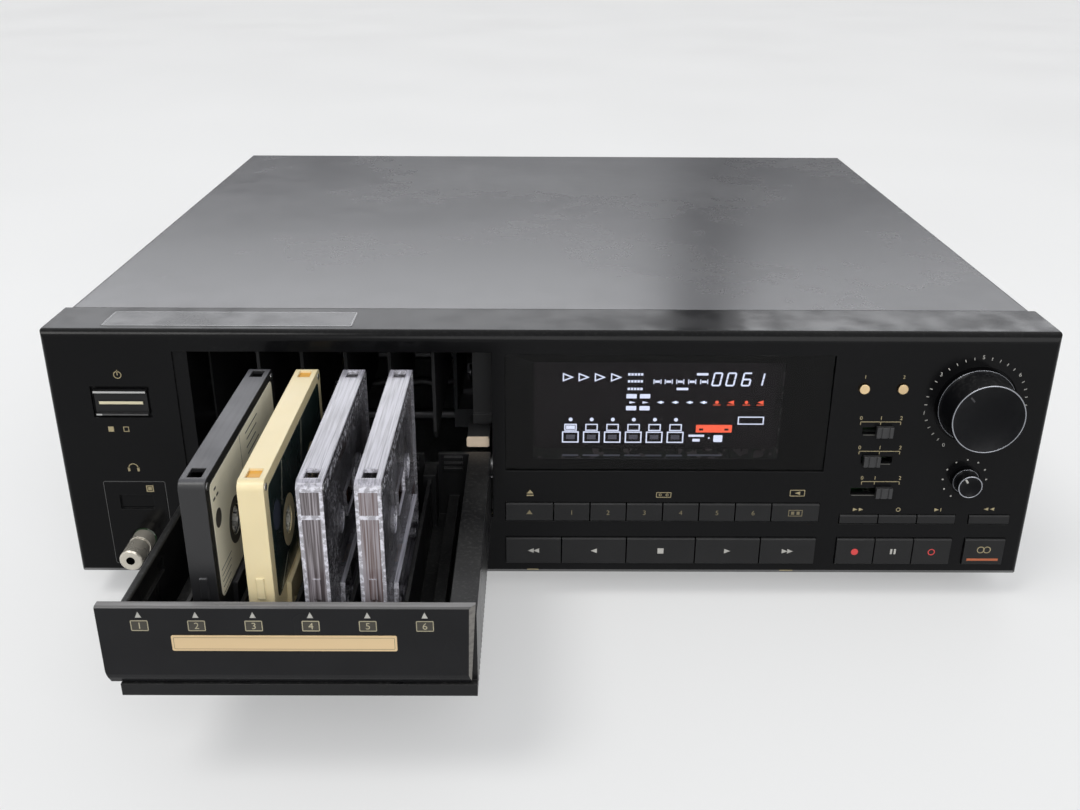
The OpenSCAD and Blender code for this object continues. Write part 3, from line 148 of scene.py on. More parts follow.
def bar_loop(u0, v0, u1, v1, width):
    """Straight stroke between two points: the ends moved by half the width to either side."""
    along = np.array([u1 - u0, v1 - v0], float)
    along /= np.linalg.norm(along)
    side = np.array([-along[1], along[0]]) * width / 2
    a, b = np.array([u0, v0]), np.array([u1, v1])
    return np.array([a - side, b - side, b + side, a + side])


def area_of(loop):
    """Signed area, half the sum of u v' - u' v."""
    after = np.roll(loop, -1, 0)
    return 0.5 * (loop[:, 0] * after[:, 1] - after[:, 0] * loop[:, 1]).sum()


class Drawing:
    """Flat work on a face of the object: outlines with holes, each carried outwards into a thin prism.

    A point (u, v) at height w is origin + u right + v up + w (right x up), in millimetres. A prism
    reaches up to the height that the drawing is given, where its own call names none.
    """

    def __init__(self, origin, right=(1, 0, 0), up=(0, 0, 1), high=0.05):
        self.origin = np.array(origin, float)
        self.high = high
        self.right = np.array(right, float)
        self.up = np.array(up, float)
        self.out = np.cross(self.right, self.up)
        self.points = []
        self.faces = []
        self.count = 0

    def add(self, outer, holes=(), low=0.0, high=None):
        """Prism between the heights low and high over an outline with holes."""
        high = self.high if high is None else high
        loops = [outer if area_of(outer) > 0 else outer[::-1]]
        loops += [hole if area_of(hole) < 0 else hole[::-1] for hole in holes]
        flat = np.concatenate(loops)
        n = len(flat)
        at = self.origin + flat[:, :1] * self.right + flat[:, 1:] * self.up
        self.points += [at + low * self.out, at + high * self.out]
        caps = tessellate_polygon([[Vector((p[0], p[1], 0)) for p in loop] for loop in loops])
        for tri in caps:
            tri = list(tri)
            if area_of(flat[tri]) < 0:
                tri.reverse()
            self.faces.append([self.count + n + k for k in tri])
            self.faces.append([self.count + k for k in reversed(tri)])
        start = 0
        for loop in loops:
            k = np.arange(len(loop))
            ahead = (k + 1) % len(loop)
            walls = self.count + start + np.stack([k, ahead, ahead + n, k + n], 1)
            self.faces += walls.tolist()
            start += len(loop)
        self.count += 2 * n
        return self

    def line(self, outer, width, low=0.0, high=None):
        """The outline drawn as a stroke that lies inside it."""
        return self.add(outer, [shrunk(outer, width)], low, high)

    def figure(self, text, u, v, height):
        """A number in the plain built-in font, centred on (u, v)."""
        curve = bpy.data.curves.new("figure", "FONT")
        curve.body = text
        curve.size = height / 0.7
        holder = bpy.data.objects.new("figure", curve)
        mesh = bpy.data.meshes.new_from_object(holder)
        co = np.zeros(len(mesh.vertices) * 3)
        mesh.vertices.foreach_get("co", co)
        flat = co.reshape(-1, 3)[:, :2]
        flat = flat - (flat.min(0) + flat.max(0)) / 2 + (u, v)
        at = self.origin + flat[:, :1] * self.right + flat[:, 1:] * self.up
        self.points.append(at + self.high * self.out)
        for polygon in mesh.polygons:
            face = list(polygon.vertices)
            if area_of(flat[face]) < 0:
                face.reverse()
            self.faces.append([self.count + k for k in face])
        self.count += len(flat)
        bpy.data.objects.remove(holder)
        bpy.data.curves.remove(curve)
        bpy.data.meshes.remove(mesh)
        return self

    def piece(self, name, body, material, slot):
        """The drawing as an object that rides on a body."""
        mesh = bpy.data.meshes.new(name)
        mesh.from_pydata(placed(np.concatenate(self.points)).tolist(), [], self.faces)
        return finished(name, mesh, body, material)


def finished(name, mesh, body, material):
    """Object for a mesh in frame metres, with its material and body."""
    mesh.validate()
    mesh.materials.append(material)
    piece = bpy.data.objects.new(name, mesh)
    bpy.context.scene.collection.objects.link(piece)
    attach(piece, body)
    return piece


def skin(name, grid, wrap_u=False, wrap_v=True):
    """Mesh of a surface given as an array of points P(i, j): each cell joins four neighbours."""
    rows, columns = grid.shape[:2]
    i = np.arange(rows if wrap_u else rows - 1)
    j = np.arange(columns if wrap_v else columns - 1)
    i, j = np.meshgrid(i, j, indexing="ij")
    i1, j1 = (i + 1) % rows, (j + 1) % columns
    quads = np.stack([i * columns + j, i * columns + j1, i1 * columns + j1, i1 * columns + j], -1)
    quads = quads.reshape(-1, 4)
    mesh = bpy.data.meshes.new(name)
    mesh.vertices.add(rows * columns)
    mesh.vertices.foreach_set("co", placed(grid.reshape(-1, 3)).ravel())
    mesh.loops.add(quads.size)
    mesh.loops.foreach_set("vertex_index", quads.ravel().astype(np.int32))
    mesh.polygons.add(len(quads))
    mesh.polygons.foreach_set("loop_start", np.arange(0, quads.size, 4, dtype=np.int32))
    mesh.polygons.foreach_set("use_smooth", np.ones(len(quads), bool))
    mesh.update()
    return mesh


def turned(name, centre, profile, sides=96, closed=False):
    """Surface turned about the -y axis: P(t, a) = centre + r(t) (cos a, 0, sin a) - h(t) (0, 1, 0).

    An open profile starts and ends at the axis, and a closed one runs round the section of a ring.
    """
    r, h = np.array(profile, float).T[:, :, None]
    a = -np.arange(sides) * TAU / sides
    grid = np.stack([r * np.cos(a), np.repeat(-h, sides, 1), r * np.sin(a)], -1)
    return skin(name, grid + np.array(centre), wrap_u=closed)


# Shader nodes


class Nodes:
    """A node tree with short calls: a value is set on a socket, and a socket is linked to it."""

    def __init__(self, tree):
        self.tree = tree

    def put(self, socket, value):
        if isinstance(value, bpy.types.NodeSocket):
            self.tree.links.new(value, socket)
        else:
            socket.default_value = value

    def node(self, kind, inputs=None, **settings):
        made = self.tree.nodes.new(kind)
        for key, value in settings.items():
            setattr(made, key, value)
        for key, value in (inputs or {}).items():
            self.put(made.inputs[key], value)
        return made

    def place(self):
        return self.node("ShaderNodeTexCoord").outputs["Object"]

    def part(self, vector, axis):
        return self.node("ShaderNodeSeparateXYZ", {0: vector}).outputs[axis]

    def vector(self, operation, a, b):
        return self.node("ShaderNodeVectorMath", {0: a, 1: b}, operation=operation).outputs[0]

    def length(self, vector):
        return self.node("ShaderNodeVectorMath", {0: vector}, operation="LENGTH").outputs["Value"]

    def math(self, operation, a, b=0.0, clamp=False):
        return self.node("ShaderNodeMath", {0: a, 1: b}, operation=operation, use_clamp=clamp).outputs[0]

    def ramp(self, value, low, high, to_low=0.0, to_high=1.0, smooth=False):
        made = self.node(
            "ShaderNodeMapRange",
            {"Value": value, "From Min": low, "From Max": high, "To Min": to_low, "To Max": to_high},
            interpolation_type="SMOOTHSTEP" if smooth else "LINEAR",
        )
        return made.outputs["Result"]

    def mix(self, mask, a, b):
        return self.node("ShaderNodeMix", {0: mask, 6: a, 7: b}, data_type="RGBA").outputs[2]

    def noise(self, where, scale, detail=3.0, roughness=0.5, distortion=0.0):
        inputs = {"Vector": where, "Scale": scale, "Detail": detail}
        inputs.update({"Roughness": roughness, "Distortion": distortion})
        return self.node("ShaderNodeTexNoise", inputs).outputs["Fac"]

    def shared(self, tree, inputs):
        return self.node("ShaderNodeGroup", inputs, node_tree=tree)

    def stretched(self, where, scale):
        return self.node("ShaderNodeMapping", {"Vector": where, "Scale": scale}).outputs["Vector"]


def group(name, inputs, outputs, build):
    """A shared node group, made once. Inputs are (name, kind, default), outputs (name, kind)."""
    if name in bpy.data.node_groups:
        return bpy.data.node_groups[name]
    tree = bpy.data.node_groups.new(name, "ShaderNodeTree")
    kinds = {"value": "NodeSocketFloat", "vector": "NodeSocketVector", "colour": "NodeSocketColor"}
    for label, kind, default in inputs:
        tree.interface.new_socket(label, in_out="INPUT", socket_type=kinds[kind]).default_value = default
    for label, kind in outputs:
        tree.interface.new_socket(label, in_out="OUTPUT", socket_type=kinds[kind])
    entry = tree.nodes.new("NodeGroupInput")
    leave = tree.nodes.new("NodeGroupOutput")
    nodes = Nodes(tree)
    for label, socket in build(nodes, entry.outputs).items():
        nodes.put(leave.inputs[label], socket)
    return tree


def build_grain(n, given):
    """Fine moulded or sprayed grain: small noise as height, and a slow mottle of the colour."""
    where = n.place()
    where = n.vector("MULTIPLY", where, given["Stretch"])
    fine = n.noise(where, given["Scale"], 2.0, 0.6)
    slow = n.noise(where, n.math("MULTIPLY", given["Scale"], 0.03), 3.0)
    return {"Height": fine, "Mottle": n.ramp(slow, 0.3, 0.7)}


def build_handling(n, given):
    """Marks of use: smudges by two slow noises, dust on what faces up, and worn edges.

    The edge mask is 1 minus the dot product of the true normal and a normal rounded over the radius.
    """
    where = n.place()
    wide = n.noise(where, given["Scale"], 4.0, 0.6, 0.8)
    streak = n.noise(n.stretched(where, (3.0, 3.0, 0.7)), n.math("MULTIPLY", given["Scale"], 2.5), 2.0)
    smudge = n.ramp(n.math("MULTIPLY", wide, streak), 0.12, 0.42, smooth=True)
    geometry = n.node("ShaderNodeNewGeometry")
    facing = n.part(geometry.outputs["Normal"], "Z")
    speck = n.ramp(n.noise(where, 700.0, 2.0, 0.7), 0.52, 0.7)
    film = n.ramp(n.noise(where, 40.0, 3.0), 0.3, 0.75)
    lies = n.ramp(facing, 0.3, 0.95, smooth=True)
    both = n.math("ADD", n.math("MULTIPLY", speck, 0.6), n.math("MULTIPLY", film, 0.4))
    dust = n.math("MULTIPLY", lies, both)
    bevel = n.node("ShaderNodeBevel", {"Radius": given["Edge Radius"]}, samples=4)
    normals = {0: bevel.outputs[0], 1: geometry.outputs["True Normal"]}
    turn = n.node("ShaderNodeVectorMath", normals, operation="DOT_PRODUCT").outputs["Value"]
    edge = n.ramp(turn, 0.985, 0.8)
    broken = n.ramp(n.noise(where, 260.0, 3.0), 0.38, 0.62)
    return {
        "Smudge": smudge,
        "Dust": n.math("MULTIPLY", dust, given["Dust"], clamp=True),
        "Edge": n.math("MULTIPLY", edge, broken, clamp=True),
        "Rounded": bevel.outputs[0],
    }


def build_scratches(n, given):
    """Hairlines: thin level bands of a long stretched noise, in two directions, broken by patches."""
    where = n.place()
    masks = []
    for turn, seed in ((0.5, 3.1), (-0.9, 7.7)):
        turned_to = {"Vector": where, "Rotation": (0, 0, turn), "Location": (seed, 0, 0)}
        along = n.node("ShaderNodeMapping", turned_to).outputs[0]
        level = n.noise(n.stretched(along, (1.5, 40.0, 40.0)), given["Scale"], 2.0, 0.4)
        masks.append(n.ramp(n.math("ABSOLUTE", n.math("SUBTRACT", level, 0.5)), 0.006, 0.0))
    lines = n.math("MAXIMUM", masks[0], masks[1])
    patch = n.ramp(n.noise(where, 14.0, 2.0), 0.56, 0.68)
    return {"Mask": n.math("MULTIPLY", lines, n.math("MULTIPLY", patch, given["Amount"]), clamp=True)}


def build_hubs(n, given):
    """1 within a radius of either of two points in y and z, and 0 outside: the place of a cassette's hubs."""
    where = n.place()
    apart = []
    for label in ("First", "Second"):
        away = n.vector("SUBTRACT", where, given[label])
        flat = n.vector("MULTIPLY", away, (0, 1, 1))
        apart.append(n.length(flat))
    near = n.math("MINIMUM", apart[0], apart[1])
    return {"Mask": n.math("LESS_THAN", near, given["Radius"])}


def grain_group():
    return group(
        "Moulded Grain",
        [("Scale", "value", 900.0), ("Stretch", "vector", (1, 1, 1))],
        [("Height", "value"), ("Mottle", "value")],
        build_grain,
    )


def handling_group():
    return group(
        "Marks of Use",
        [("Scale", "value", 9.0), ("Dust", "value", 0.1), ("Edge Radius", "value", 0.0004)],
        [("Smudge", "value"), ("Dust", "value"), ("Edge", "value"), ("Rounded", "vector")],
        build_handling,
    )


def scratch_group():
    inputs = [("Scale", "value", 6.0), ("Amount", "value", 0.5)]
    return group("Hairline Scratches", inputs, [("Mask", "value")], build_scratches)


def hub_group():
    inputs = [("First", "vector", (0, 0, 0)), ("Second", "vector", (0, 0, 0)), ("Radius", "value", 0.005)]
    return group("Cassette Hubs", inputs, [("Mask", "value")], build_hubs)


FINISHES = {}


def new_material(name):
    """A material, its nodes and its shader."""
    material = bpy.data.materials.new(name)
    material.use_nodes = True
    return material, Nodes(material.node_tree), material.node_tree.nodes["Principled BSDF"]


def shade(c, factor):
    """A colour times a factor, kept within 0 and 1."""
    return tuple(min(1.0, v * factor) for v in c[:3]) + (1.0,)


def finish(
    name,
    colour,
    rough=0.4,
    grain=900.0,
    depth=0.15,
    stretch=(1, 1, 1),
    mottle=0.12,
    smudge=0.1,
    dust=0.1,
    edge=0.25,
    edge_radius=0.0004,
    scratches=0.0,
    pattern=None,
    specular=None,
    sockets=None,
):
    """A surface with grain, slow mottle, smudges that change its gloss, dust and worn edges.

    pattern(nodes, colour socket, roughness socket) may put its own marks over these; specular and sockets
    are constants of the shader, such as its Metallic or Transmission Weight.
    """
    if name in FINISHES:
        return FINISHES[name]
    material, n, shader = new_material("deck_" + name)
    FINISHES[name] = material
    texture = n.shared(grain_group(), {"Scale": grain, "Stretch": stretch})
    marks = n.shared(handling_group(), {"Dust": dust, "Edge Radius": edge_radius})
    base = n.mix(texture.outputs["Mottle"], shade(colour, 1 - mottle), shade(colour, 1 + mottle))
    wear_and_highlight_tone = tuple(min(1.0, v * 1.6 + 0.05) for v in colour[:3]) + (1.0,)
    base = n.mix(n.math("MULTIPLY", marks.outputs["Edge"], edge), base, wear_and_highlight_tone)
    gloss = n.ramp(marks.outputs["Smudge"], 0.0, 1.0, rough - smudge / 2, rough + smudge / 2)
    if scratches:
        lines = n.shared(scratch_group(), {"Amount": scratches})
        base = n.mix(lines.outputs["Mask"], base, shade(wear_and_highlight_tone, 1.5))
        gloss = n.math("ADD", gloss, n.math("MULTIPLY", lines.outputs["Mask"], 0.15))
    if pattern:
        base, gloss = pattern(n, base, gloss)
    base = n.mix(marks.outputs["Dust"], base, (0.30, 0.295, 0.285, 1))
    gloss = n.math("ADD", gloss, n.math("MULTIPLY", marks.outputs["Dust"], 0.4), clamp=True)
    relief = {"Strength": depth, "Distance": 0.0002, "Height": texture.outputs["Height"]}
    relief["Normal"] = marks.outputs["Rounded"]
    bump = n.node("ShaderNodeBump", relief)
    n.put(shader.inputs["Base Color"], base)
    n.put(shader.inputs["Roughness"], gloss)
    n.put(shader.inputs["Normal"], bump.outputs[0])
    if specular is not None:
        shader.inputs["Specular IOR Level"].default_value = specular
    for key, value in (sockets or {}).items():
        shader.inputs[key].default_value = value
    return material


def printed(name, colour, rough=0.4, **more):
    """Print: thin and even, without dust or worn edges."""
    return finish(name, colour, rough=rough, depth=0.05, edge=0.0, dust=0.0, **more)


def lit(name, colour, strength):
    """A glowing segment: its colour wavers a little over the phosphor's grain."""
    material = finish(name, shade(colour, 0.6), rough=0.4, depth=0.05, dust=0.0, edge=0.0, smudge=0.02)
    n = Nodes(material.node_tree)
    shader = material.node_tree.nodes["Principled BSDF"]
    where = n.place()
    speck = n.ramp(n.noise(where, 1800.0, 1.0), 0.3, 0.7)
    n.put(shader.inputs["Emission Color"], n.mix(speck, shade(colour, 0.8), shade(colour, 1.0)))
    shader.inputs["Emission Strength"].default_value = strength
    return material


# Sizes and colours that a user may change


def colour_property(name, default, description):
    return FloatVectorProperty(
        name=name, description=description, default=default, subtype="COLOR", size=3, min=0.0, max=1.0
    )


def length_property(name, default, description, unit="LENGTH"):
    return FloatProperty(name=name, description=description, default=default * MM, unit=unit)


class DeckColours(bpy.types.PropertyGroup):
    cover: colour_property("Cover", (0.044, 0.044, 0.048), "Satin paint of the steel cover")
    panel: colour_property("Panel", (0.004, 0.004, 0.0044), "Glossy moulding of the front panel")
    keys: colour_property("Keys", (0.010, 0.010, 0.0105), "Moulding of the keys")
    tray: colour_property("Tray", (0.006, 0.006, 0.0065), "Moulding of the tray")
    drawer: colour_property("Drawer's front", (0.009, 0.009, 0.010), "Face of the drawer")
    knob: colour_property("Knobs", (0.004, 0.0042, 0.005), "Moulding of the two knobs")
    print_gold: colour_property("Gold print", (0.36, 0.30, 0.17), "Signs printed on the panel and keys")
    print_pale: colour_property("Pale print", (0.42, 0.41, 0.38), "Light signs on keys and scales")
    print_red: colour_property("Red print", (0.60, 0.05, 0.05), "Recording signs")
    gold: colour_property("Gold plate", (0.70, 0.52, 0.30), "Plate on the drawer and the counter buttons")
    glow: colour_property("Display", (0.72, 0.88, 1.0), "Lit segments of the display")
    glow_red: colour_property("Red of the display", (1.0, 0.16, 0.07), "Red segments of the display")
    black_shell: colour_property("Black cassette", (0.013, 0.013, 0.014), "Shell of the black cassette")
    cream_shell: colour_property("Cream cassette", (0.78, 0.66, 0.40), "Shell of the cream cassette")
    paper: colour_property("Paper label", (0.92, 0.87, 0.70), "Paper of the black cassette's label")


class DeckSizes(bpy.types.PropertyGroup):
    ink: length_property("Thickness of print", 0.04, "How far print stands on its face")
    level_scale: length_property("Radius of the level scale", 20.7, "From the knob's axis to its marks")
    ridge: length_property("Half height of the power button", 5.6, "From its middle to its ridges' outside")
    balance_scale: length_property("Radius of the balance scale", 9.4, "From the knob's axis to its dots")
    plate: length_property("Thickness of the gold plate", 0.35, "Plate on the drawer's front")
    label: length_property("Thickness of a label", 0.1, "Paper on a cassette")
    lens: length_property("Lens", 37.15, "Focal length of the camera", unit="CAMERA")


def colours():
    return bpy.context.scene.deck_colours


def sizes():
    return bpy.context.scene.deck_sizes


def mm(value):
    """A length property in millimetres."""
    return value / MM


# Patterns of single finishes


def board_pattern(n, base, gloss):
    """Circuit board: copper runs under green varnish on the board, dark parts and bright cans above it."""
    where = n.place()
    layout = {"Vector": where, "Scale": 180.0, "Mortar Size": 0.06, "Brick Width": 1.7, "Row Height": 0.5}
    runs = n.node("ShaderNodeTexBrick", layout).outputs["Fac"]
    base = n.mix(n.math("MULTIPLY", runs, 0.35), base, (0.07, 0.14, 0.06, 1))
    speck = n.ramp(n.noise(where, 240.0, 1.0), 0.58, 0.62)
    return n.mix(n.math("MULTIPLY", speck, 0.5), base, (0.45, 0.45, 0.42, 1)), gloss


def main_board_pattern(n, base, gloss):
    """The board itself is green; what stands on it is dark or metal by its place."""
    base, gloss = board_pattern(n, base, gloss)
    where = n.place()
    height = n.part(where, "Z")
    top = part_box("main_board")[0].z + 1.7 * MM
    above = n.math("GREATER_THAN", height, top)
    flat = n.stretched(where, (1, 1, 0))
    cell = n.node("ShaderNodeTexVoronoi", {"Vector": flat, "Scale": 28.0}).outputs["Color"]
    tone = n.ramp(n.node("ShaderNodeSeparateColor", {0: cell}).outputs[0], 0.45, 0.5)
    parts = n.mix(tone, (0.03, 0.03, 0.034, 1), (0.30, 0.31, 0.32, 1))
    return n.mix(above, base, parts), gloss


def laminated(n, base, gloss):
    """Stacked sheets: dark lines across y, and a copper coloured winding at the coil's place."""
    where = n.place()
    sheets = {"Vector": where, "Scale": 320.0, "Distortion": 0.2}
    wave = n.node("ShaderNodeTexWave", sheets, bands_direction="Y")
    base = n.mix(n.math("MULTIPLY", wave.outputs["Fac"], 0.5), base, (0.02, 0.018, 0.016, 1))
    low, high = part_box("power_transformer")
    y = n.part(where, "Y")
    off = n.math("ABSOLUTE", n.math("SUBTRACT", y, (low.y + high.y) / 2))
    tape = n.math("GREATER_THAN", off, 17.2 * MM)
    return n.mix(tape, base, (0.42, 0.30, 0.06, 1)), gloss


def brushed(n, base, gloss):
    """Drawn metal: fine streaks along x change its tone and gloss."""
    where = n.stretched(n.place(), (0.02, 1.0, 1.0))
    streak = n.noise(where, 1600.0, 2.0)
    tone = n.ramp(streak, 0.3, 0.7, 0.0, 0.35)
    paler = n.mix(0.5, base, (0.25, 0.25, 0.26, 1))
    return n.mix(tone, base, paler), n.math("ADD", gloss, n.math("MULTIPLY", tone, 0.2))


def zinc(n, base, gloss):
    """Plated sheet: large crystals of slightly different grey."""
    where = n.place()
    cells = n.node("ShaderNodeTexVoronoi", {"Vector": where, "Scale": 70.0}).outputs["Color"]
    grey = n.node("ShaderNodeSeparateColor", {0: cells}).outputs[0]
    return n.mix(n.math("MULTIPLY", grey, 0.3), base, (0.85, 0.86, 0.88, 1)), gloss


def bored(n, base, gloss):
    """Painted shade: the adaptor's bore is painted near black, by its distance from the axis."""
    low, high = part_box("jack_adaptor")
    axis = ((low.x + high.x) / 2, 0, (low.z + high.z) / 2)
    away = n.vector("SUBTRACT", n.place(), axis)
    flat = n.vector("MULTIPLY", away, (1, 0, 1))
    reach = n.length(flat)
    return n.mix(n.math("LESS_THAN", reach, 1.86 * MM), base, (0.004, 0.004, 0.004, 1)), gloss


def sprayed(n, base, gloss):
    """Sprayed cover: fine orange peel already comes with the grain; wide cloudy wear dulls it."""
    where = n.place()
    cloud = n.ramp(n.noise(where, 5.0, 3.0, 0.5, 0.3), 0.3, 0.75, smooth=True)
    sparkle = n.ramp(n.noise(where, 2600.0, 1.0), 0.62, 0.75)
    base = n.mix(n.math("MULTIPLY", cloud, 0.12), base, (0.13, 0.13, 0.14, 1))
    base = n.mix(n.math("MULTIPLY", sparkle, 0.05), base, (0.30, 0.30, 0.32, 1))
    return base, n.math("ADD", gloss, n.math("MULTIPLY", cloud, 0.06))


def hubbed(node, hub_colour):
    """Marks the hubs of a cassette with a lighter plastic, by their place in the solid."""
    low, high = inner_box(node)
    middle = (low + high) / 2
    spots = [placed((middle[0], middle[1] + s * HUB_REACH, low[2] + HUB_LEVEL)) for s in (-1, 1)]

    def pattern(n, base, gloss):
        hubs = n.shared(hub_group(), {"First": spots[0], "Second": spots[1], "Radius": 4.8 * MM})
        return n.mix(hubs.outputs["Mask"], base, hub_colour), gloss

    return pattern


def faced(up, right=None, after=None, stretch=(900.0, 30.0, 900.0)):
    """Painted light: faces that look up, or to the right, are painted a lighter tone as a painted sheen of
    the light that falls on them, streaked where stretch is low.
    """

    def pattern(n, base, gloss):
        if after:
            base, gloss = after(n, base, gloss)
        where = n.place()
        split = n.node("ShaderNodeSeparateXYZ", {0: n.node("ShaderNodeNewGeometry").outputs["Normal"]})
        streak = n.ramp(n.noise(n.stretched(where, stretch), 1.0, 2.0), 0.25, 0.6, 0.6, 1.0)
        mask = n.math("MULTIPLY", n.ramp(split.outputs["Z"], 0.7, 0.97), streak)
        base = n.mix(mask, base, up)
        if right:
            base = n.mix(n.math("MULTIPLY", n.ramp(split.outputs["X"], 0.4, 0.6), streak), base, right)
        return base, gloss

    return pattern


def build_clear(n, given):
    """Clear cassette shell by place and facing: x from the middle, z from the top.

    The top is frosted with streaks along y. The near side has a white frame and cross bars round dark
    panes. The broad sides are see-through, with a bright rim along their top edge that is a painted
    highlight, a dark line and a speckled band below it.
    """
    where = n.place()
    at = n.node("ShaderNodeSeparateXYZ", {0: where})
    normal = n.node("ShaderNodeSeparateXYZ", {0: n.node("ShaderNodeNewGeometry").outputs["Normal"]})
    off = n.math("ABSOLUTE", n.math("SUBTRACT", at.outputs["X"], given["Middle"]))
    below = n.math("SUBTRACT", given["Top"], at.outputs["Z"])
    streak = n.ramp(n.noise(n.stretched(where, (1500.0, 45.0, 1500.0)), 1.0, 2.0), 0.34, 0.62)
    upright = n.ramp(n.noise(n.stretched(where, (1700.0, 1700.0, 30.0)), 1.0, 2.0), 0.4, 0.6)
    speck = n.ramp(n.noise(where, 620.0, 3.0, 0.7), 0.47, 0.58)
    top = n.mix(streak, (0.20, 0.195, 0.22, 1), (0.42, 0.41, 0.47, 1))
    rail = n.math("COMPARE", off, 2.2 * MM)
    rail.node.inputs[2].default_value = 0.12 * MM
    top = n.mix(n.math("MULTIPLY", rail, 0.5), top, (0.12, 0.12, 0.13, 1))
    pane = n.mix(upright, given["Pane"], (0.30, 0.27, 0.29, 1))
    bars = n.math("GREATER_THAN", off, 3.1 * MM)
    for level, half in ((0.0, 3.4), (12.6, 0.8), (47.0, 1.2), (60.5, 2.0)):
        bar = n.math("COMPARE", below, level * MM)
        bar.node.inputs[2].default_value = half * MM
        bars = n.math("MAXIMUM", bars, bar)
    front = n.mix(bars, pane, n.mix(speck, (0.34, 0.33, 0.36, 1), (0.72, 0.71, 0.78, 1)))
    band = n.math("MULTIPLY", n.ramp(below, 2.0 * MM, 2.4 * MM), n.ramp(below, 6.2 * MM, 5.6 * MM))
    # painted highlight: a thin bright line along the top edge of the broad sides
    rim = n.ramp(below, 0.9 * MM, 0.6 * MM)
    patch = n.ramp(n.noise(n.stretched(where, (1.0, 1.0, 0.6)), 60.0, 3.0), 0.45, 0.62)
    scuff = n.math("MULTIPLY", speck, patch)
    bright = n.math("MAXIMUM", n.math("MULTIPLY", band, speck), n.math("MULTIPLY", scuff, 0.7))
    bright = n.math("MAXIMUM", bright, rim)
    broad = n.mix(bright, (0.035, 0.033, 0.036, 1), (0.86, 0.85, 0.92, 1))
    sideways = n.ramp(n.math("ABSOLUTE", normal.outputs["X"]), 0.5, 0.8)
    colour = n.mix(sideways, front, broad)
    up = n.ramp(normal.outputs["Z"], 0.35, 0.7)
    clear = n.math("MULTIPLY", sideways, n.math("SUBTRACT", 1.0, bright))
    alpha = n.math("SUBTRACT", 1.0, n.math("MULTIPLY", clear, 0.6))
    return {"Colour": n.mix(up, colour, top), "Alpha": alpha}


def clear_group():
    inputs = [("Middle", "value", 0.0), ("Top", "value", 0.0), ("Pane", "colour", (0.1, 0.1, 0.1, 1))]
    return group("Clear Shell", inputs, [("Colour", "colour"), ("Alpha", "value")], build_clear)


def clear_shell(name, node, pane):
    """Clear, frosted and scuffed plastic; pane is the tone seen through its near side."""
    low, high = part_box(node)
    made = []

    def pattern(n, base, gloss):
        shell = n.shared(clear_group(), {"Middle": (low.x + high.x) / 2, "Top": high.z, "Pane": pane})
        made.append(shell.outputs["Alpha"])
        return n.mix(0.12, shell.outputs["Colour"], base), gloss

    material = finish(
        name, (0.30, 0.29, 0.32), rough=0.16, grain=700.0, depth=0.25, stretch=(1, 1, 0.5), smudge=0.1,
        dust=0.0, edge=0.0, edge_radius=0.0005, pattern=pattern, specular=0.6,
    )
    Nodes(material.node_tree).put(material.node_tree.nodes["Principled BSDF"].inputs["Alpha"], made[0])
    return material


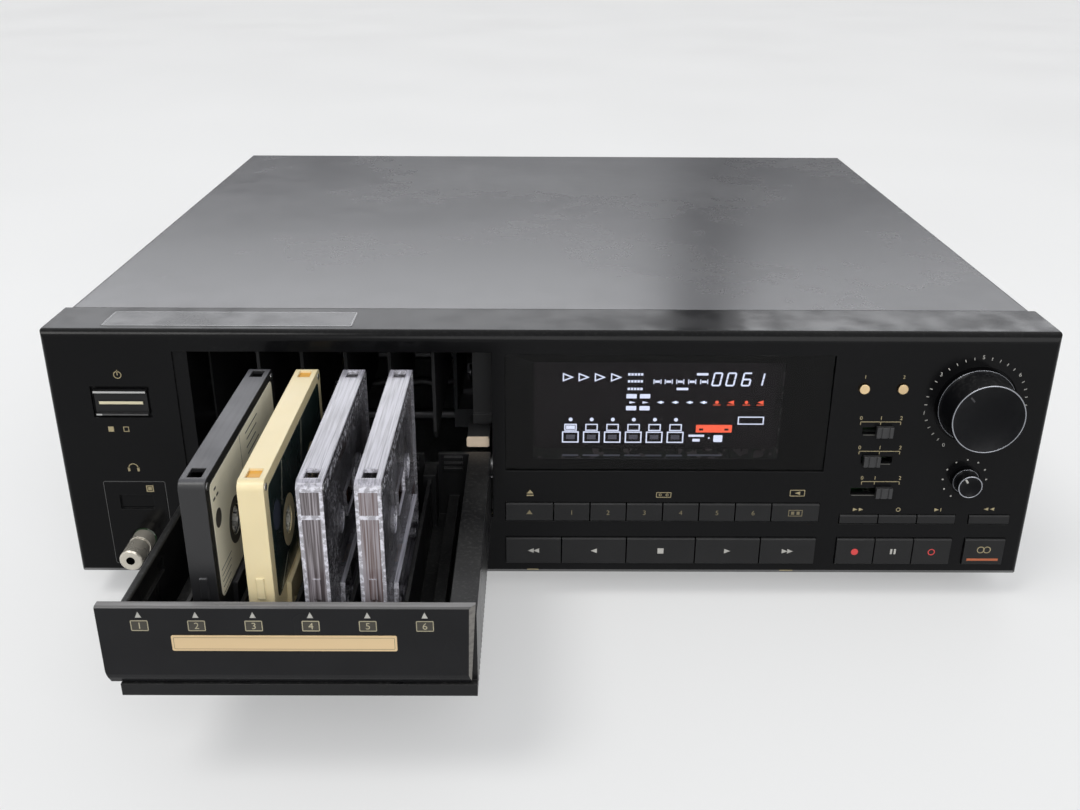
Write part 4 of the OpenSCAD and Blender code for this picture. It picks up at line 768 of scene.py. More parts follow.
def solid_finishes():
    """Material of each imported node, by name."""
    c = colours()
    keys = finish(
        "key_black", tuple(c.keys), rough=0.34, grain=2200, depth=0.10, edge=0.5, edge_radius=0.00025,
        dust=0.05, specular=0.22,
    )
    board = finish(
        "board_green", (0.012, 0.040, 0.018), rough=0.3, grain=700, depth=0.1, pattern=board_pattern,
    )
    # painted sheen: the drawer's faces that look up are painted pale grey and those that look right warm
    # grey, for the light they catch
    drawer_painted_sheen = faced((0.24, 0.235, 0.235, 1), right=(0.20, 0.19, 0.175, 1), stretch=(25.0, 500.0, 900.0))
    black_hubs = hubbed("cassette_black", (0.60, 0.59, 0.56, 1))
    cream_hubs = hubbed("cassette_cream", (0.70, 0.68, 0.60, 1))
    made = {
        "top_cover": finish(
            "cover_paint", tuple(c.cover), rough=0.24, grain=2600, depth=0.01, mottle=0.04, smudge=0.03,
            dust=0.03, edge=0.5, edge_radius=0.0008, pattern=sprayed, specular=0.9,
        ),
        "front_panel": finish(
            "panel_black", tuple(c.panel), rough=0.17, grain=500, depth=0.03, smudge=0.12, dust=0.04,
            edge=0.35, edge_radius=0.0004, scratches=0.05, specular=0.11,
        ),
        "rear_panel": finish(
            "rear_paint", (0.04, 0.04, 0.043), rough=0.5, grain=2600, depth=0.2, dust=0.05, scratches=0.3,
        ),
        "chassis": finish(
            "plated_steel", (0.55, 0.56, 0.57), rough=0.38, grain=600, depth=0.05, pattern=zinc,
            sockets=METAL,
        ),
        "tray_rails": finish(
            "rail_steel", (0.50, 0.51, 0.53), rough=0.36, grain=600, depth=0.05, pattern=zinc,
            sockets=METAL,
        ),
        "display_window": finish(
            "window_smoke", (0.34, 0.30, 0.33), rough=0.035, grain=300, depth=0.01, mottle=0.03, smudge=0.05,
            dust=0.02, edge=0.0, edge_radius=0.0002, sockets={"Transmission Weight": 1.0, "IOR": 1.25},
        ),
        "display_tube": finish(
            "display_glass", (0.010, 0.007, 0.008), rough=0.16, grain=900, depth=0.03, edge=0.1, dust=0.0,
            pattern=phosphor_grid, specular=0.12, sockets={"Coat Weight": 0.05, "Coat Roughness": 0.04},
        ),
        "control_board": board,
        "phones_board": board,
        "main_board": finish(
            "main_board_green", (0.03, 0.12, 0.05), rough=0.35, grain=700, depth=0.1,
            pattern=main_board_pattern,
        ),
        "power_transformer": finish(
            "transformer_core", (0.09, 0.08, 0.07), rough=0.42, grain=900, depth=0.2, pattern=laminated,
        ),
        "feet": finish("foot_rubber", (0.015, 0.015, 0.016), rough=0.62, grain=1500, depth=0.35, edge=0.3),
        "case_screws": finish(
            "black_screw", (0.05, 0.05, 0.052), rough=0.3, grain=1500, depth=0.1, edge=0.8,
            edge_radius=0.0003, sockets={"Metallic": 0.8},
        ),
        "rear_jacks": finish(
            "jack_gold", (0.80, 0.60, 0.27), rough=0.22, grain=1500, depth=0.05, pattern=jack_block,
            sockets=METAL,
        ),
        "cord_gland": finish("gland_black", (0.02, 0.02, 0.021), rough=0.5, grain=1600, depth=0.3),
        "power_button": keys,
        "tray": finish(
            "tray_black", tuple(c.tray), rough=0.33, grain=1500, depth=0.16, smudge=0.12, dust=0.12,
            edge=0.35, edge_radius=0.0004, specular=0.25,
        ),
        "tray_front": finish(
            "drawer_face", tuple(c.drawer), rough=0.27, grain=1800, depth=0.07, smudge=0.08, dust=0.03,
            edge=0.45, edge_radius=0.0005, pattern=drawer_painted_sheen, specular=0.16,
        ),
        "drive_pinion": finish("gear_white", (0.78, 0.75, 0.66), rough=0.4, grain=1300, depth=0.08),
        "drive_pulley": finish("pulley_white", (0.76, 0.74, 0.66), rough=0.42, grain=1300, depth=0.08),
        "drive_belt": finish("belt_rubber", (0.025, 0.025, 0.026), rough=0.6, grain=2200, depth=0.3),
        "tray_motor": finish(
            "motor_can", (0.55, 0.55, 0.56), rough=0.3, grain=900, depth=0.05, pattern=brushed, sockets=METAL,
        ),
        "cassette_guide": finish(
            "guide_black", (0.016, 0.016, 0.017), rough=0.42, grain=1500, depth=0.2, dust=0.04, edge=0.3,
            specular=0.35,
        ),
        # painted shade: the rods and lead screw get a near-black steel colour for the shade they lie in
        # inside the case
        "guide_rods": finish(
            "ground_steel", (0.09, 0.09, 0.095), rough=0.42, grain=1500, depth=0.04, pattern=brushed,
            sockets=METAL,
        ),
        "lead_screw": finish(
            "screw_steel_painted_shade", (0.10, 0.10, 0.105), rough=0.42, grain=1500, depth=0.04, edge=0.4, sockets=METAL,
        ),
        "carriage": finish(
            "carriage_grey", (0.045, 0.047, 0.052), rough=0.45, grain=1400, depth=0.2, edge=0.3,
        ),
        "head_block": finish(
            "head_metal", (0.16, 0.16, 0.17), rough=0.36, grain=1200, depth=0.05, pattern=brushed,
            sockets=METAL,
        ),
        # painted sheen: the black shell's faces that look up are painted a lighter grey for the light they
        # catch
        "cassette_black": finish(
            "shell_black", tuple(c.black_shell), rough=0.36, grain=1300, depth=0.14, stretch=(1, 0.15, 1),
            dust=0.07, edge=0.7, edge_radius=0.0006, scratches=0.5,
            pattern=faced((0.062, 0.062, 0.070, 1), after=black_hubs),
        ),
        "cassette_cream": finish(
            "shell_cream", tuple(c.cream_shell), rough=0.34, grain=1100, depth=0.08, mottle=0.05, dust=0.0,
            edge=0.25, edge_radius=0.0006, pattern=cream_hubs,
            sockets={"Subsurface Weight": 0.08, "Subsurface Radius": (0.002, 0.0015, 0.0008)},
        ),
        "cassette_clear_a": clear_shell("shell_clear", "cassette_clear_a", (0.055, 0.040, 0.040, 1)),
        "cassette_clear_b": clear_shell("shell_clear_b", "cassette_clear_b", (0.11, 0.068, 0.060, 1)),
        "jack_adaptor": finish(
            "adaptor_metal", (0.62, 0.58, 0.50), rough=0.30, grain=1500, depth=0.06, edge=0.3, pattern=bored,
            sockets={"Metallic": 0.6},
        ),
        "level_knob": finish(
            "knob_black", tuple(c.knob), rough=0.3, grain=1800, depth=0.06, edge=0.2, specular=0.08,
        ),
    }
    made["balance_knob"] = made["level_knob"]
    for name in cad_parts:
        if name.endswith("_key") or name.startswith("number_key"):
            made[name] = keys
        elif name.startswith("counter_button"):
            made[name] = finish(
                "button_gold", tuple(c.gold), rough=0.25, grain=1200, depth=0.05, edge=0.4, sockets=METAL
            )
        elif name.startswith("switch_"):
            made[name] = finish(
                "switch_cap", (0.018, 0.018, 0.019), rough=0.4, grain=1700, depth=0.2, edge=0.6,
                edge_radius=0.0003,
            )
    return made


def phosphor_grid(n, base, gloss):
    """The display's glass shows its fine control grid: thin upright lines in a slightly lighter tone."""
    where = n.place()
    wave = n.node("ShaderNodeTexWave", {"Vector": where, "Scale": 260.0}, bands_direction="X")
    mesh = n.ramp(wave.outputs["Fac"], 0.75, 0.95)
    return n.mix(n.math("MULTIPLY", mesh, 0.5), base, (0.030, 0.024, 0.027, 1)), gloss


def jack_block(n, base, gloss):
    """Gold sleeves behind the rear face, on a block of dark plastic inside the case."""
    where = n.place()
    y = n.part(where, "Y")
    inside = n.math("LESS_THAN", y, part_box("rear_panel")[0].y + 0.1 * MM)
    return n.mix(inside, base, (0.03, 0.03, 0.03, 1)), gloss


# The pieces


class DECK_OT_finishes(bpy.types.Operator):
    """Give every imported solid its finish"""

    bl_idname = "deck.finishes"
    bl_label = "Finishes"

    def execute(self, context):
        made = solid_finishes()
        for name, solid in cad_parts.items():
            if name not in made:
                raise RuntimeError("no finish is made for " + name)
            if not solid.material_slots:
                solid.data.materials.append(None)
            for holder in solid.material_slots:
                holder.material = made[name]
        return {"FINISHED"}


class DECK_OT_panel_print(bpy.types.Operator):
    """Signs, scales and dots printed on the panel"""

    bl_idname = "deck.panel_print"
    bl_label = "Print on the panel"

    def execute(self, context):
        ink = mm(sizes().ink)
        gold = printed("print_gold", tuple(colours().print_gold), grain=1500)
        pale = printed("print_pale", tuple(colours().print_pale), rough=0.45, grain=1500)
        # signs over the keys and controls
        signs = Drawing((0, -SUNK, 0), high=ink)
        signs.line(disc_loop(-180.2, 96.4, 1.7, 24), 0.35)
        signs.add(bar_loop(-180.2, 96.2, -180.2, 98.6, 0.4))
        signs.add(box_loop(-187.6, 70.4, -185.2, 72.8))
        signs.line(box_loop(-181.2, 70.4, -178.8, 72.8), 0.35)
        arc = np.linspace(0.0, TAU / 2, 13)
        band = np.stack([-179.5 + 2.2 * np.cos(arc), 53.2 + 2.2 * np.sin(arc)], 1)
        inner = np.stack([-179.5 + 1.8 * np.cos(arc), 53.2 + 1.8 * np.sin(arc)], 1)[::-1]
        signs.add(np.concatenate([band, inner]))
        for s in (-1, 1):
            signs.add(box_loop(-179.5 + s * 2.0 - 0.5, 51.6, -179.5 + s * 2.0 + 0.5, 53.6, 0.3))
        signs.add(up_loop(-8.9, 42.3, 3.0, 1.8)).add(box_loop(-10.4, 40.2, -7.4, 40.8))
        signs.line(box_loop(104.2, 40.4, 110.8, 43.6, 0.4), 0.35)
        signs.add(wedge_loop(107.5, 42.0, -2.4, 1.7))
        signs.line(box_loop(46.0, 39.6, 52.6, 42.2, 0.3), 0.3)
        for u in (47.8, 50.8):
            signs.line(disc_loop(u, 40.9, 0.65, 16), 0.25)
        signs.add(bar_loop(-10.2, 3.0, -5.0, 3.0, 0.45))
        signs.add(bar_loop(103.2, 2.8, 109.0, 2.8, 0.45))
        # counter, switches and the keys of the right hand group
        for u, text in ((130.6, "1"), (146.7, "2")):
            signs.figure(text, u, 96.7, 1.5)
        scales = ((76.2, 131.0, 139.5, 148.0), (62.4, 132.0, 140.7, 149.4), (47.8, 134.8, 140.4, 151.2))
        for v, *marks in scales:
            signs.add(bar_loop(marks[0], v, marks[2], v, 0.3))
            for k, u in enumerate(marks):
                signs.add(bar_loop(u, v, u, v - 1.4, 0.3))
                signs.figure(str(k), u, v + 1.8, 1.7)
        for u, v, width in ((133.6, 34.0, 2.0), (136.2, 34.0, 2.0)):
            signs.add(wedge_loop(u, v, width, 1.6))
        signs.line(disc_loop(152.5, 34.0, 1.0, 16), 0.3)
        signs.add(wedge_loop(169.4, 34.0, 2.0, 1.6)).add(bar_loop(171.2, 33.2, 171.2, 34.8, 0.35))
        for u, v, width in ((191.0, 34.4, -2.0), (193.6, 34.4, -2.0)):
            signs.add(wedge_loop(u, v, width, 1.6))
        signs.piece("panel_signs", "case", gold, "panel_black")
        # painted highlight: a thin lighter strip along the lower edge of each switch slot stands in for the
        # light its lip catches
        lips = Drawing((0, 0, 0), high=0.04)
        for name, (before, after) in SWITCH_ROOM.items():
            low, high = inner_box(name)
            foot = face_centre(name)[1] - SLOT_HALF
            lips.add(box_loop(low[0] - before, foot - 0.45, high[0] + after, foot - 0.05))
        wear_and_highlight_tone = finish("slot_edge_highlight", (0.075, 0.072, 0.062), rough=0.4, grain=1700, depth=0.1)
        lips.piece("slot_lips", "case", wear_and_highlight_tone, "panel_black")
        # scale of the level knob from 7 to 5 o'clock, and dots of the balance knob
        scale = Drawing((0, -SUNK, 0), high=ink)
        u0, v0, _ = face_centre("level_knob")
        radius = mm(sizes().level_scale)
        for k in range(31):
            a = TAU * (0.5 + 0.25 - 0.0833 - k * 0.8334 / 30)
            direction = np.array([math.cos(a), math.sin(a)])
            p = np.array([u0, v0]) + direction * radius
            if k % 5 == 0:
                scale.figure(str(k // 3), *(p + direction * 0.8), 1.7)
            else:
                scale.add(bar_loop(*(p - direction * 0.3), *(p + direction * 0.9), 0.35))
        u0, v0, _ = face_centre("balance_knob")
        radius = mm(sizes().balance_scale)
        for k in range(11):
            a = TAU * (0.75 - 0.0833 - k * 0.08334)
            scale.add(disc_loop(u0 + radius * math.cos(a), v0 + radius * math.sin(a), 0.42, 12))
        scale.piece("control_scales", "case", pale, "panel_black")
        # painted highlight: a light hairline along the groove round the socket plate
        edges = Drawing((0, -SUNK, 0), high=ink)
        side = face_centre("power_button")[0]
        edges.line(box_loop(side - 13.4, 5.6, side + 13.4, 46.8, 1.0), 0.22, high=0.02)
        grey = finish("edge_highlight_grey", (0.09, 0.09, 0.09), rough=0.35, depth=0.05)
        edges.piece("socket_plate_edge_highlight", "case", grey, "panel_black")
        mark = Drawing((0, -SUNK, 0), high=ink)
        mark.line(box_loop(-175.4, 41.6, -172.2, 44.8), 0.5).add(box_loop(-174.6, 42.4, -173.0, 44.0))
        mark.piece("socket_plate_mark", "case", gold, "panel_black")
        return {"FINISHED"}


KEY_MARKS = {
    "rewind_key": [("wedge", -1.2, -2.6), ("wedge", 1.2, -2.6)],
    "reverse_play_key": [("wedge", 0.0, -2.8)],
    "stop_key": [("square", 0.0, 2.7)],
    "play_key": [("wedge", 0.0, 2.8)],
    "forward_key": [("wedge", -1.2, 2.6), ("wedge", 1.2, 2.6)],
    "pause_key": [("bar", -0.8, 0.9), ("bar", 0.8, 0.9)],
    "open_key": [("up", 0.0, 2.8)],
}


class DECK_OT_key_marks(bpy.types.Operator):
    """Signs and numbers on the keys, each riding on its own key"""

    bl_idname = "deck.key_marks"
    bl_label = "Signs on the keys"

    def execute(self, context):
        gold = FINISHES["print_gold"]
        pale = FINISHES["print_pale"]
        dim = printed("print_dim", shade(tuple(colours().print_gold), 0.45), rough=0.45)
        red = printed("print_red", tuple(colours().print_red))
        orange = printed("print_orange", (0.40, 0.10, 0.035))
        for name, marks in KEY_MARKS.items():
            drawn, u, v = self.on_key(name)
            v += 0.2
            for kind, offset, size in marks:
                if kind == "wedge":
                    drawn.add(wedge_loop(u + offset, v, size, 2.3))
                elif kind == "square":
                    drawn.add(box_loop(u - size / 2, v - size / 2, u + size / 2, v + size / 2))
                elif kind == "bar":
                    drawn.add(box_loop(u + offset - size / 2, v - 1.3, u + offset + size / 2, v + 1.3))
                else:
                    drawn.add(up_loop(u, v, size, 2.2))
            drawn.piece(name + "_mark", name, dim if name == "open_key" else pale, "key_black")
        for k in range(1, 7):
            name = "number_key_%d" % k
            drawn, u, v = self.on_key(name)
            drawn.figure(str(k), u, v, 2.2).piece(name + "_mark", name, dim, "key_black")
        box, u, v = self.on_key("return_key")
        box.line(box_loop(u - 3.1, v - 1.6, u + 3.1, v + 1.6), 0.35)
        for side in (u - 1.2, u + 1.2):
            box.add(box_loop(side - 0.7, v - 0.8, side + 0.7, v + 0.8))
        box.piece("return_key_mark", "return_key", dim, "key_black")
        dot, u, v = self.on_key("record_key")
        dot.add(disc_loop(u, v, 1.6)).piece("record_key_mark", "record_key", red, "key_black")
        ring, u, v = self.on_key("mute_key")
        ring.line(disc_loop(u, v, 1.6), 0.45).piece("mute_key_mark", "mute_key", red, "key_black")
        bar, u, v = self.on_key("sync_key")
        bar.add(box_loop(u - 7.0, v - 4.4, u + 7.0, v - 3.2))
        bar.piece("sync_key_bar", "sync_key", orange, "key_black")
        sign, u, v = self.on_key("sync_key")
        sign.line(disc_loop(u - 1.4, v + 1.2, 1.7, 24), 0.4)
        sign.line(disc_loop(u + 1.4, v + 1.2, 1.7, 24), 0.4, high=0.9 * sign.high)
        sign.piece("sync_key_sign", "sync_key", gold, "key_black")
        self.power_button()
        return {"FINISHED"}

    def on_key(self, name):
        """Drawing for print on a key's face, and the middle of that face."""
        u, v, face = face_centre(name)
        return Drawing((0, face - SUNK, 0), high=mm(sizes().ink)), u, v

    def power_button(self):
        """Cream bar in its middle, a painted highlight along the upper ridge, and a dimmer painted highlight
        along the lower one with a bright end.
        """
        name = "power_button"
        u, v, face = face_centre(name)
        bar = Drawing((0, face + 0.69, 0)).add(box_loop(u - 9.2, v - 0.65, u + 9.2, v + 0.65))
        cream = finish("bar_cream", (0.72, 0.66, 0.46), rough=0.35, depth=0.05)
        bar.piece("power_button_bar", name, cream, "key_black")
        top, foot = v + mm(sizes().ridge), v - mm(sizes().ridge)
        # painted highlights: pale strips along the ridges' edges stand in for the light they catch
        upper, u, v = self.on_key(name)
        upper.add(box_loop(u - 10.9, top - 1.0, u + 10.9, top - 0.15))
        upper.add(box_loop(u - 10.8, foot + 0.15, u - 8.4, foot + 0.8))
        ridge = finish("ridge_painted_highlight", (0.50, 0.50, 0.49), rough=0.35, depth=0.05, edge=0.0)
        upper.piece("power_button_upper_highlight", name, ridge, "key_black")
        lower, u, v = self.on_key(name)
        lower.add(box_loop(u - 8.3, foot + 0.2, u + 10.8, foot + 0.7))
        lower.piece("power_button_lower_highlight", name, FINISHES["edge_highlight_grey"], "key_black")


class DECK_OT_display(bpy.types.Operator):
    """Lit segments behind the smoked window"""

    bl_idname = "deck.display"
    bl_label = "Display"

    def digit(self, drawn, text, u, v, width, height):
        """Seven slanted bars: u moves by 0.16 of the height above the foot."""
        bars = {
            "a": (0, 1, 1, 1), "b": (1, 0.5, 1, 1), "c": (1, 0, 1, 0.5), "d": (0, 0, 1, 0),
            "e": (0, 0, 0, 0.5), "f": (0, 0.5, 0, 1), "g": (0, 0.5, 1, 0.5),
        }
        trim = 0.1
        for letter in {"0": "abcdef", "6": "acdefg", "1": "bc"}[text]:
            a, b, c, d = bars[letter]
            along = np.array([(c - a) * width, (d - b) * height])
            along = along / np.linalg.norm(along) * trim
            p = np.array([u + a * width, v + b * height]) + along
            q = np.array([u + c * width, v + d * height]) - along
            p[0] += 0.16 * (p[1] - v)
            q[0] += 0.16 * (q[1] - v)
            drawn.add(bar_loop(p[0], p[1], q[0], q[1], 0.72))

    def execute(self, context):
        white = lit("lit_white", tuple(colours().glow), 3.2)
        dim = lit("lit_dim", tuple(colours().glow), 0.12)
        red = lit("lit_red", tuple(colours().glow_red), 3.0)
        plane = (0, TUBE_Y - 0.02, 0)
        drawn, faint, warm = (Drawing(plane, high=0.03) for k in range(3))
        for u in (7.3, 14.0, 20.9, 27.8):
            drawn.line(wedge_loop(u, 92.0, 4.8, 4.0), 0.55)
        for text, u in (("0", 68.6), ("0", 74.5), ("6", 81.2), ("1", 86.6)):
            self.digit(drawn, text, u, 88.4, 3.3, 5.7)
        for v in (93.4, 90.2, 86.7):
            for k in range(5):
                drawn.add(box_loop(32.7 + k * 1.35, v - 0.55, 33.7 + k * 1.35, v + 0.55))
        for v in (83.3, 77.7):
            for u in (32.3, 38.1):
                drawn.add(box_loop(u, v - 1.0, u + 4.4, v + 1.0, 0.2))
        for u in (35.0, 40.6):
            drawn.add(wedge_loop(u, 80.4, 2.6, 1.1))
        for u in (46.5, 52.8, 59.0, 65.0):
            drawn.add(wedge_loop(u, 80.5, -2.2, 1.5))
            drawn.add(box_loop(u + 0.4, 80.2, u + 2.0, 80.8))
        for k, u in enumerate((71.3, 77.3, 84.0, 90.0)):
            warm.add(disc_loop(u, 80.6, 0.75, 12) if k % 2 == 0 else wedge_loop(u, 80.6, -2.6, 1.8))
            warm.add(box_loop(u - 1.6, 79.2, u + 1.6, 79.5))
        for u in (45.3, 50.1, 55.0, 60.1, 65.2):
            drawn.add(box_loop(u - 1.1, 89.6, u + 1.1, 90.6))
            for end in (u - 1.5, u + 1.5):
                drawn.add(box_loop(end - 0.2, 89.0, end + 0.2, 91.2))
        drawn.add(box_loop(61.9, 93.0, 66.8, 94.1, 0.2)).add(box_loop(53.6, 86.2, 58.6, 87.3, 0.2))
        for k in range(6):
            u = 8.55 + k * 9.12
            drawn.line(box_loop(u - 3.65, 61.2, u + 3.65, 66.6), 0.55)
            drawn.line(box_loop(u - 2.7, 66.9, u + 2.7, 70.2), 0.5)
            if k == 0:
                drawn.add(box_loop(u - 1.9, 67.7, u + 1.9, 69.4))
            drawn.add(disc_loop(u, 72.3, 0.85, 16))
            faint.add(box_loop(u - 1.9, 62.9, u + 1.9, 65.0))
            faint.add(box_loop(u - 3.6, 54.7, u + 3.6, 55.5))
        faint.add(box_loop(60.0, 54.9, 75.0, 55.7))
        dark_ends = [box_loop(u, 67.2, u + 1.8, 68.2) for u in (64.4, 75.4)]
        warm.add(box_loop(63.0, 66.3, 78.6, 69.9, 0.3), dark_ends)
        drawn.line(box_loop(80.9, 70.1, 92.2, 73.9), 0.5)
        drawn.add(box_loop(60.0, 64.2, 66.8, 65.2)).add(box_loop(61.8, 61.9, 65.0, 63.2))
        drawn.add(disc_loop(68.9, 63.6, 0.4, 10)).add(box_loop(70.9, 61.7, 74.8, 65.0, 0.5))
        drawn.piece("display_signs", "case", white, "display_glass")
        faint.piece("display_faint_signs", "case", dim, "display_glass")
        warm.piece("display_red_signs", "case", red, "display_glass")
        return {"FINISHED"}


class DECK_OT_knobs(bpy.types.Operator):
    """Turned knobs with bright metallic rings at rim and foot that stand in as painted highlights, and the
    balance knob's pointer
    """

    bl_idname = "deck.knobs"
    bl_label = "Knobs"

    def execute(self, context):
        black = FINISHES["knob_black"]
        # painted highlight: bright metallic rings on the rim and at the foot stand in for the light the
        # knob's edges catch
        rim = finish(
            "rim_painted_highlight", (0.32, 0.33, 0.36), rough=0.22, grain=1500, depth=0.05, edge=0.2,
            sockets={"Metallic": 0.9},
        )
        oval = np.linspace(0, TAU, 13)[:-1]
        for name, height, stem, inset in (("level_knob", 15.4, 3.0, 1.1), ("balance_knob", 7.5, 2.0, 0.3)):
            low, high = inner_box(name)
            u, v, _ = face_centre(name)
            centre = (u, 0.0, v)
            foot = (high[0] - low[0]) / 2
            top = foot - inset
            turn = np.linspace(0, TAU / 4, 6)
            shoulder = [(top - 0.4 + 0.4 * math.cos(a), height - 0.4 + 0.4 * math.sin(a)) for a in turn]
            profile = [(0, -high[1]), (stem, -high[1]), (stem, 0.7), (foot - 0.4, 0.7), (foot, 0.95)]
            profile += [(foot, 1.9), (foot - 0.25, 2.3), (foot - 0.7, 2.6), (foot - 0.75, 3.0)] + shoulder
            profile += [(top - 0.8, height), (top - 1.1, height - 0.28), (0, height - 0.3)]
            body = turned(name + "_body", centre, profile)
            knob = finished(name + "_body", body, name, black)
            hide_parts(name)
            for part, radius, at, wide, thick in (
                ("_rim", top - 0.42, height - 0.16, 0.3, 0.2),
                ("_foot_ring", foot - 0.12, 1.95, 0.16, 0.12),
            ):
                section = np.stack([radius + wide * np.cos(oval), at + thick * np.sin(oval)], 1)
                ring = turned(name + part, centre, section, 128, closed=True)
                finished(name + part, ring, name, rim)
        dark = finish("pointer_dark", (0.03, 0.03, 0.032), rough=0.4)
        for name, plane, degrees, start, end, width, thick, material in (
            ("balance_knob", -7.2, 34, 2.4, 4.4, 0.8, 0.28, FINISHES["print_pale"]),
            ("level_knob", -15.11, 42, 10.5, 13.2, 0.7, 0.06, dark),
        ):
            centre = np.array(face_centre(name)[:2])
            a = TAU / 4 + math.radians(degrees)
            along = np.array([math.cos(a), math.sin(a)])
            mark = Drawing((0, plane, 0), high=thick)
            mark.add(bar_loop(*(centre + along * start), *(centre + along * end), width))
            mark.piece(name + "_pointer", name, material, "knob_black")
        return {"FINISHED"}


class DECK_OT_drawer(bpy.types.Operator):
    """Slot signs, number boxes and the bare gold plate on the drawer's front"""

    bl_idname = "deck.drawer"
    bl_label = "Drawer's front"

    def execute(self, context):
        ink = mm(sizes().ink)
        pale = FINISHES["print_pale"]
        cream = printed("print_cream", (0.40, 0.36, 0.25), rough=0.45)
        box_gold = printed("box_gold", (0.17, 0.145, 0.085))
        plane = (0, DRAWER_Y - SUNK, 0)
        arrows, frames, fills = (Drawing(plane, high=ink) for k in range(3))
        for k in range(6):
            u = -135.8 + k * 18.65
            arrows.add(up_loop(u, 62.8, 2.1, 2.3))
            frames.line(box_loop(u - 2.9, 56.5, u + 2.9, 60.6, 0.4), 0.35)
            frames.figure(str(k + 1), u, 58.55, 2.5)
            fills.add(box_loop(u - 2.4, 57.0, u + 2.4, 60.1), high=ink * 0.4)
        arrows.piece("slot_arrows", "tray", pale, "drawer_face")
        frames.piece("slot_numbers", "tray", cream, "drawer_face")
        dark = finish("box_dark", (0.035, 0.031, 0.022), rough=0.4, depth=0.05)
        fills.piece("slot_number_grounds", "tray", dark, "drawer_face")
        thick = mm(sizes().plate)
        gold = finish(
            "plate_gold", tuple(colours().gold), rough=0.34, grain=1200, depth=0.05, stretch=(0.05, 1, 1),
            mottle=0.08, edge=0.2, edge_radius=0.0002, dust=0.0, sockets={"Metallic": 0.35},
        )
        plate = Drawing((0, DRAWER_Y, 0))
        plate.add(box_loop(-126.0, 48.9, -51.9, 54.9, 0.6), high=thick)
        plate.piece("drawer_plate", "tray", gold, "drawer_face")
        rule = Drawing((0, DRAWER_Y - thick, 0))
        rule.line(box_loop(-125.3, 49.6, -52.6, 54.2, 0.4), 0.15, high=0.02)
        rule.piece("drawer_plate_line", "tray", box_gold, "drawer_face")
        return {"FINISHED"}


class DECK_OT_sticker(bpy.types.Operator):
    """Bare black label with a light border on the panel's upper strip"""

    bl_idname = "deck.sticker"
    bl_label = "Label on the upper strip"

    def execute(self, context):
        top = inner_box("front_panel")[1][2]
        film = finish("label_film", (0.010, 0.010, 0.011), rough=0.22, depth=0.05, edge=0.1, dust=0.06)
        border = finish("label_border", (0.40, 0.40, 0.41), rough=0.35, depth=0.05, edge=0.0)
        label = Drawing((0, 0, top), up=(0, 1, 0), high=0.08)
        label.add(box_loop(-187.0, 6.6, -82.6, 25.2, 1.2)).piece("strip_label", "case", film, "panel_black")
        rule = Drawing((0, 0, top), up=(0, 1, 0), high=0.1)
        rule.line(box_loop(-186.5, 7.1, -83.1, 24.7, 1.0), 0.45, low=0.08)
        rule.piece("strip_label_border", "case", border, "panel_black")
        return {"FINISHED"}


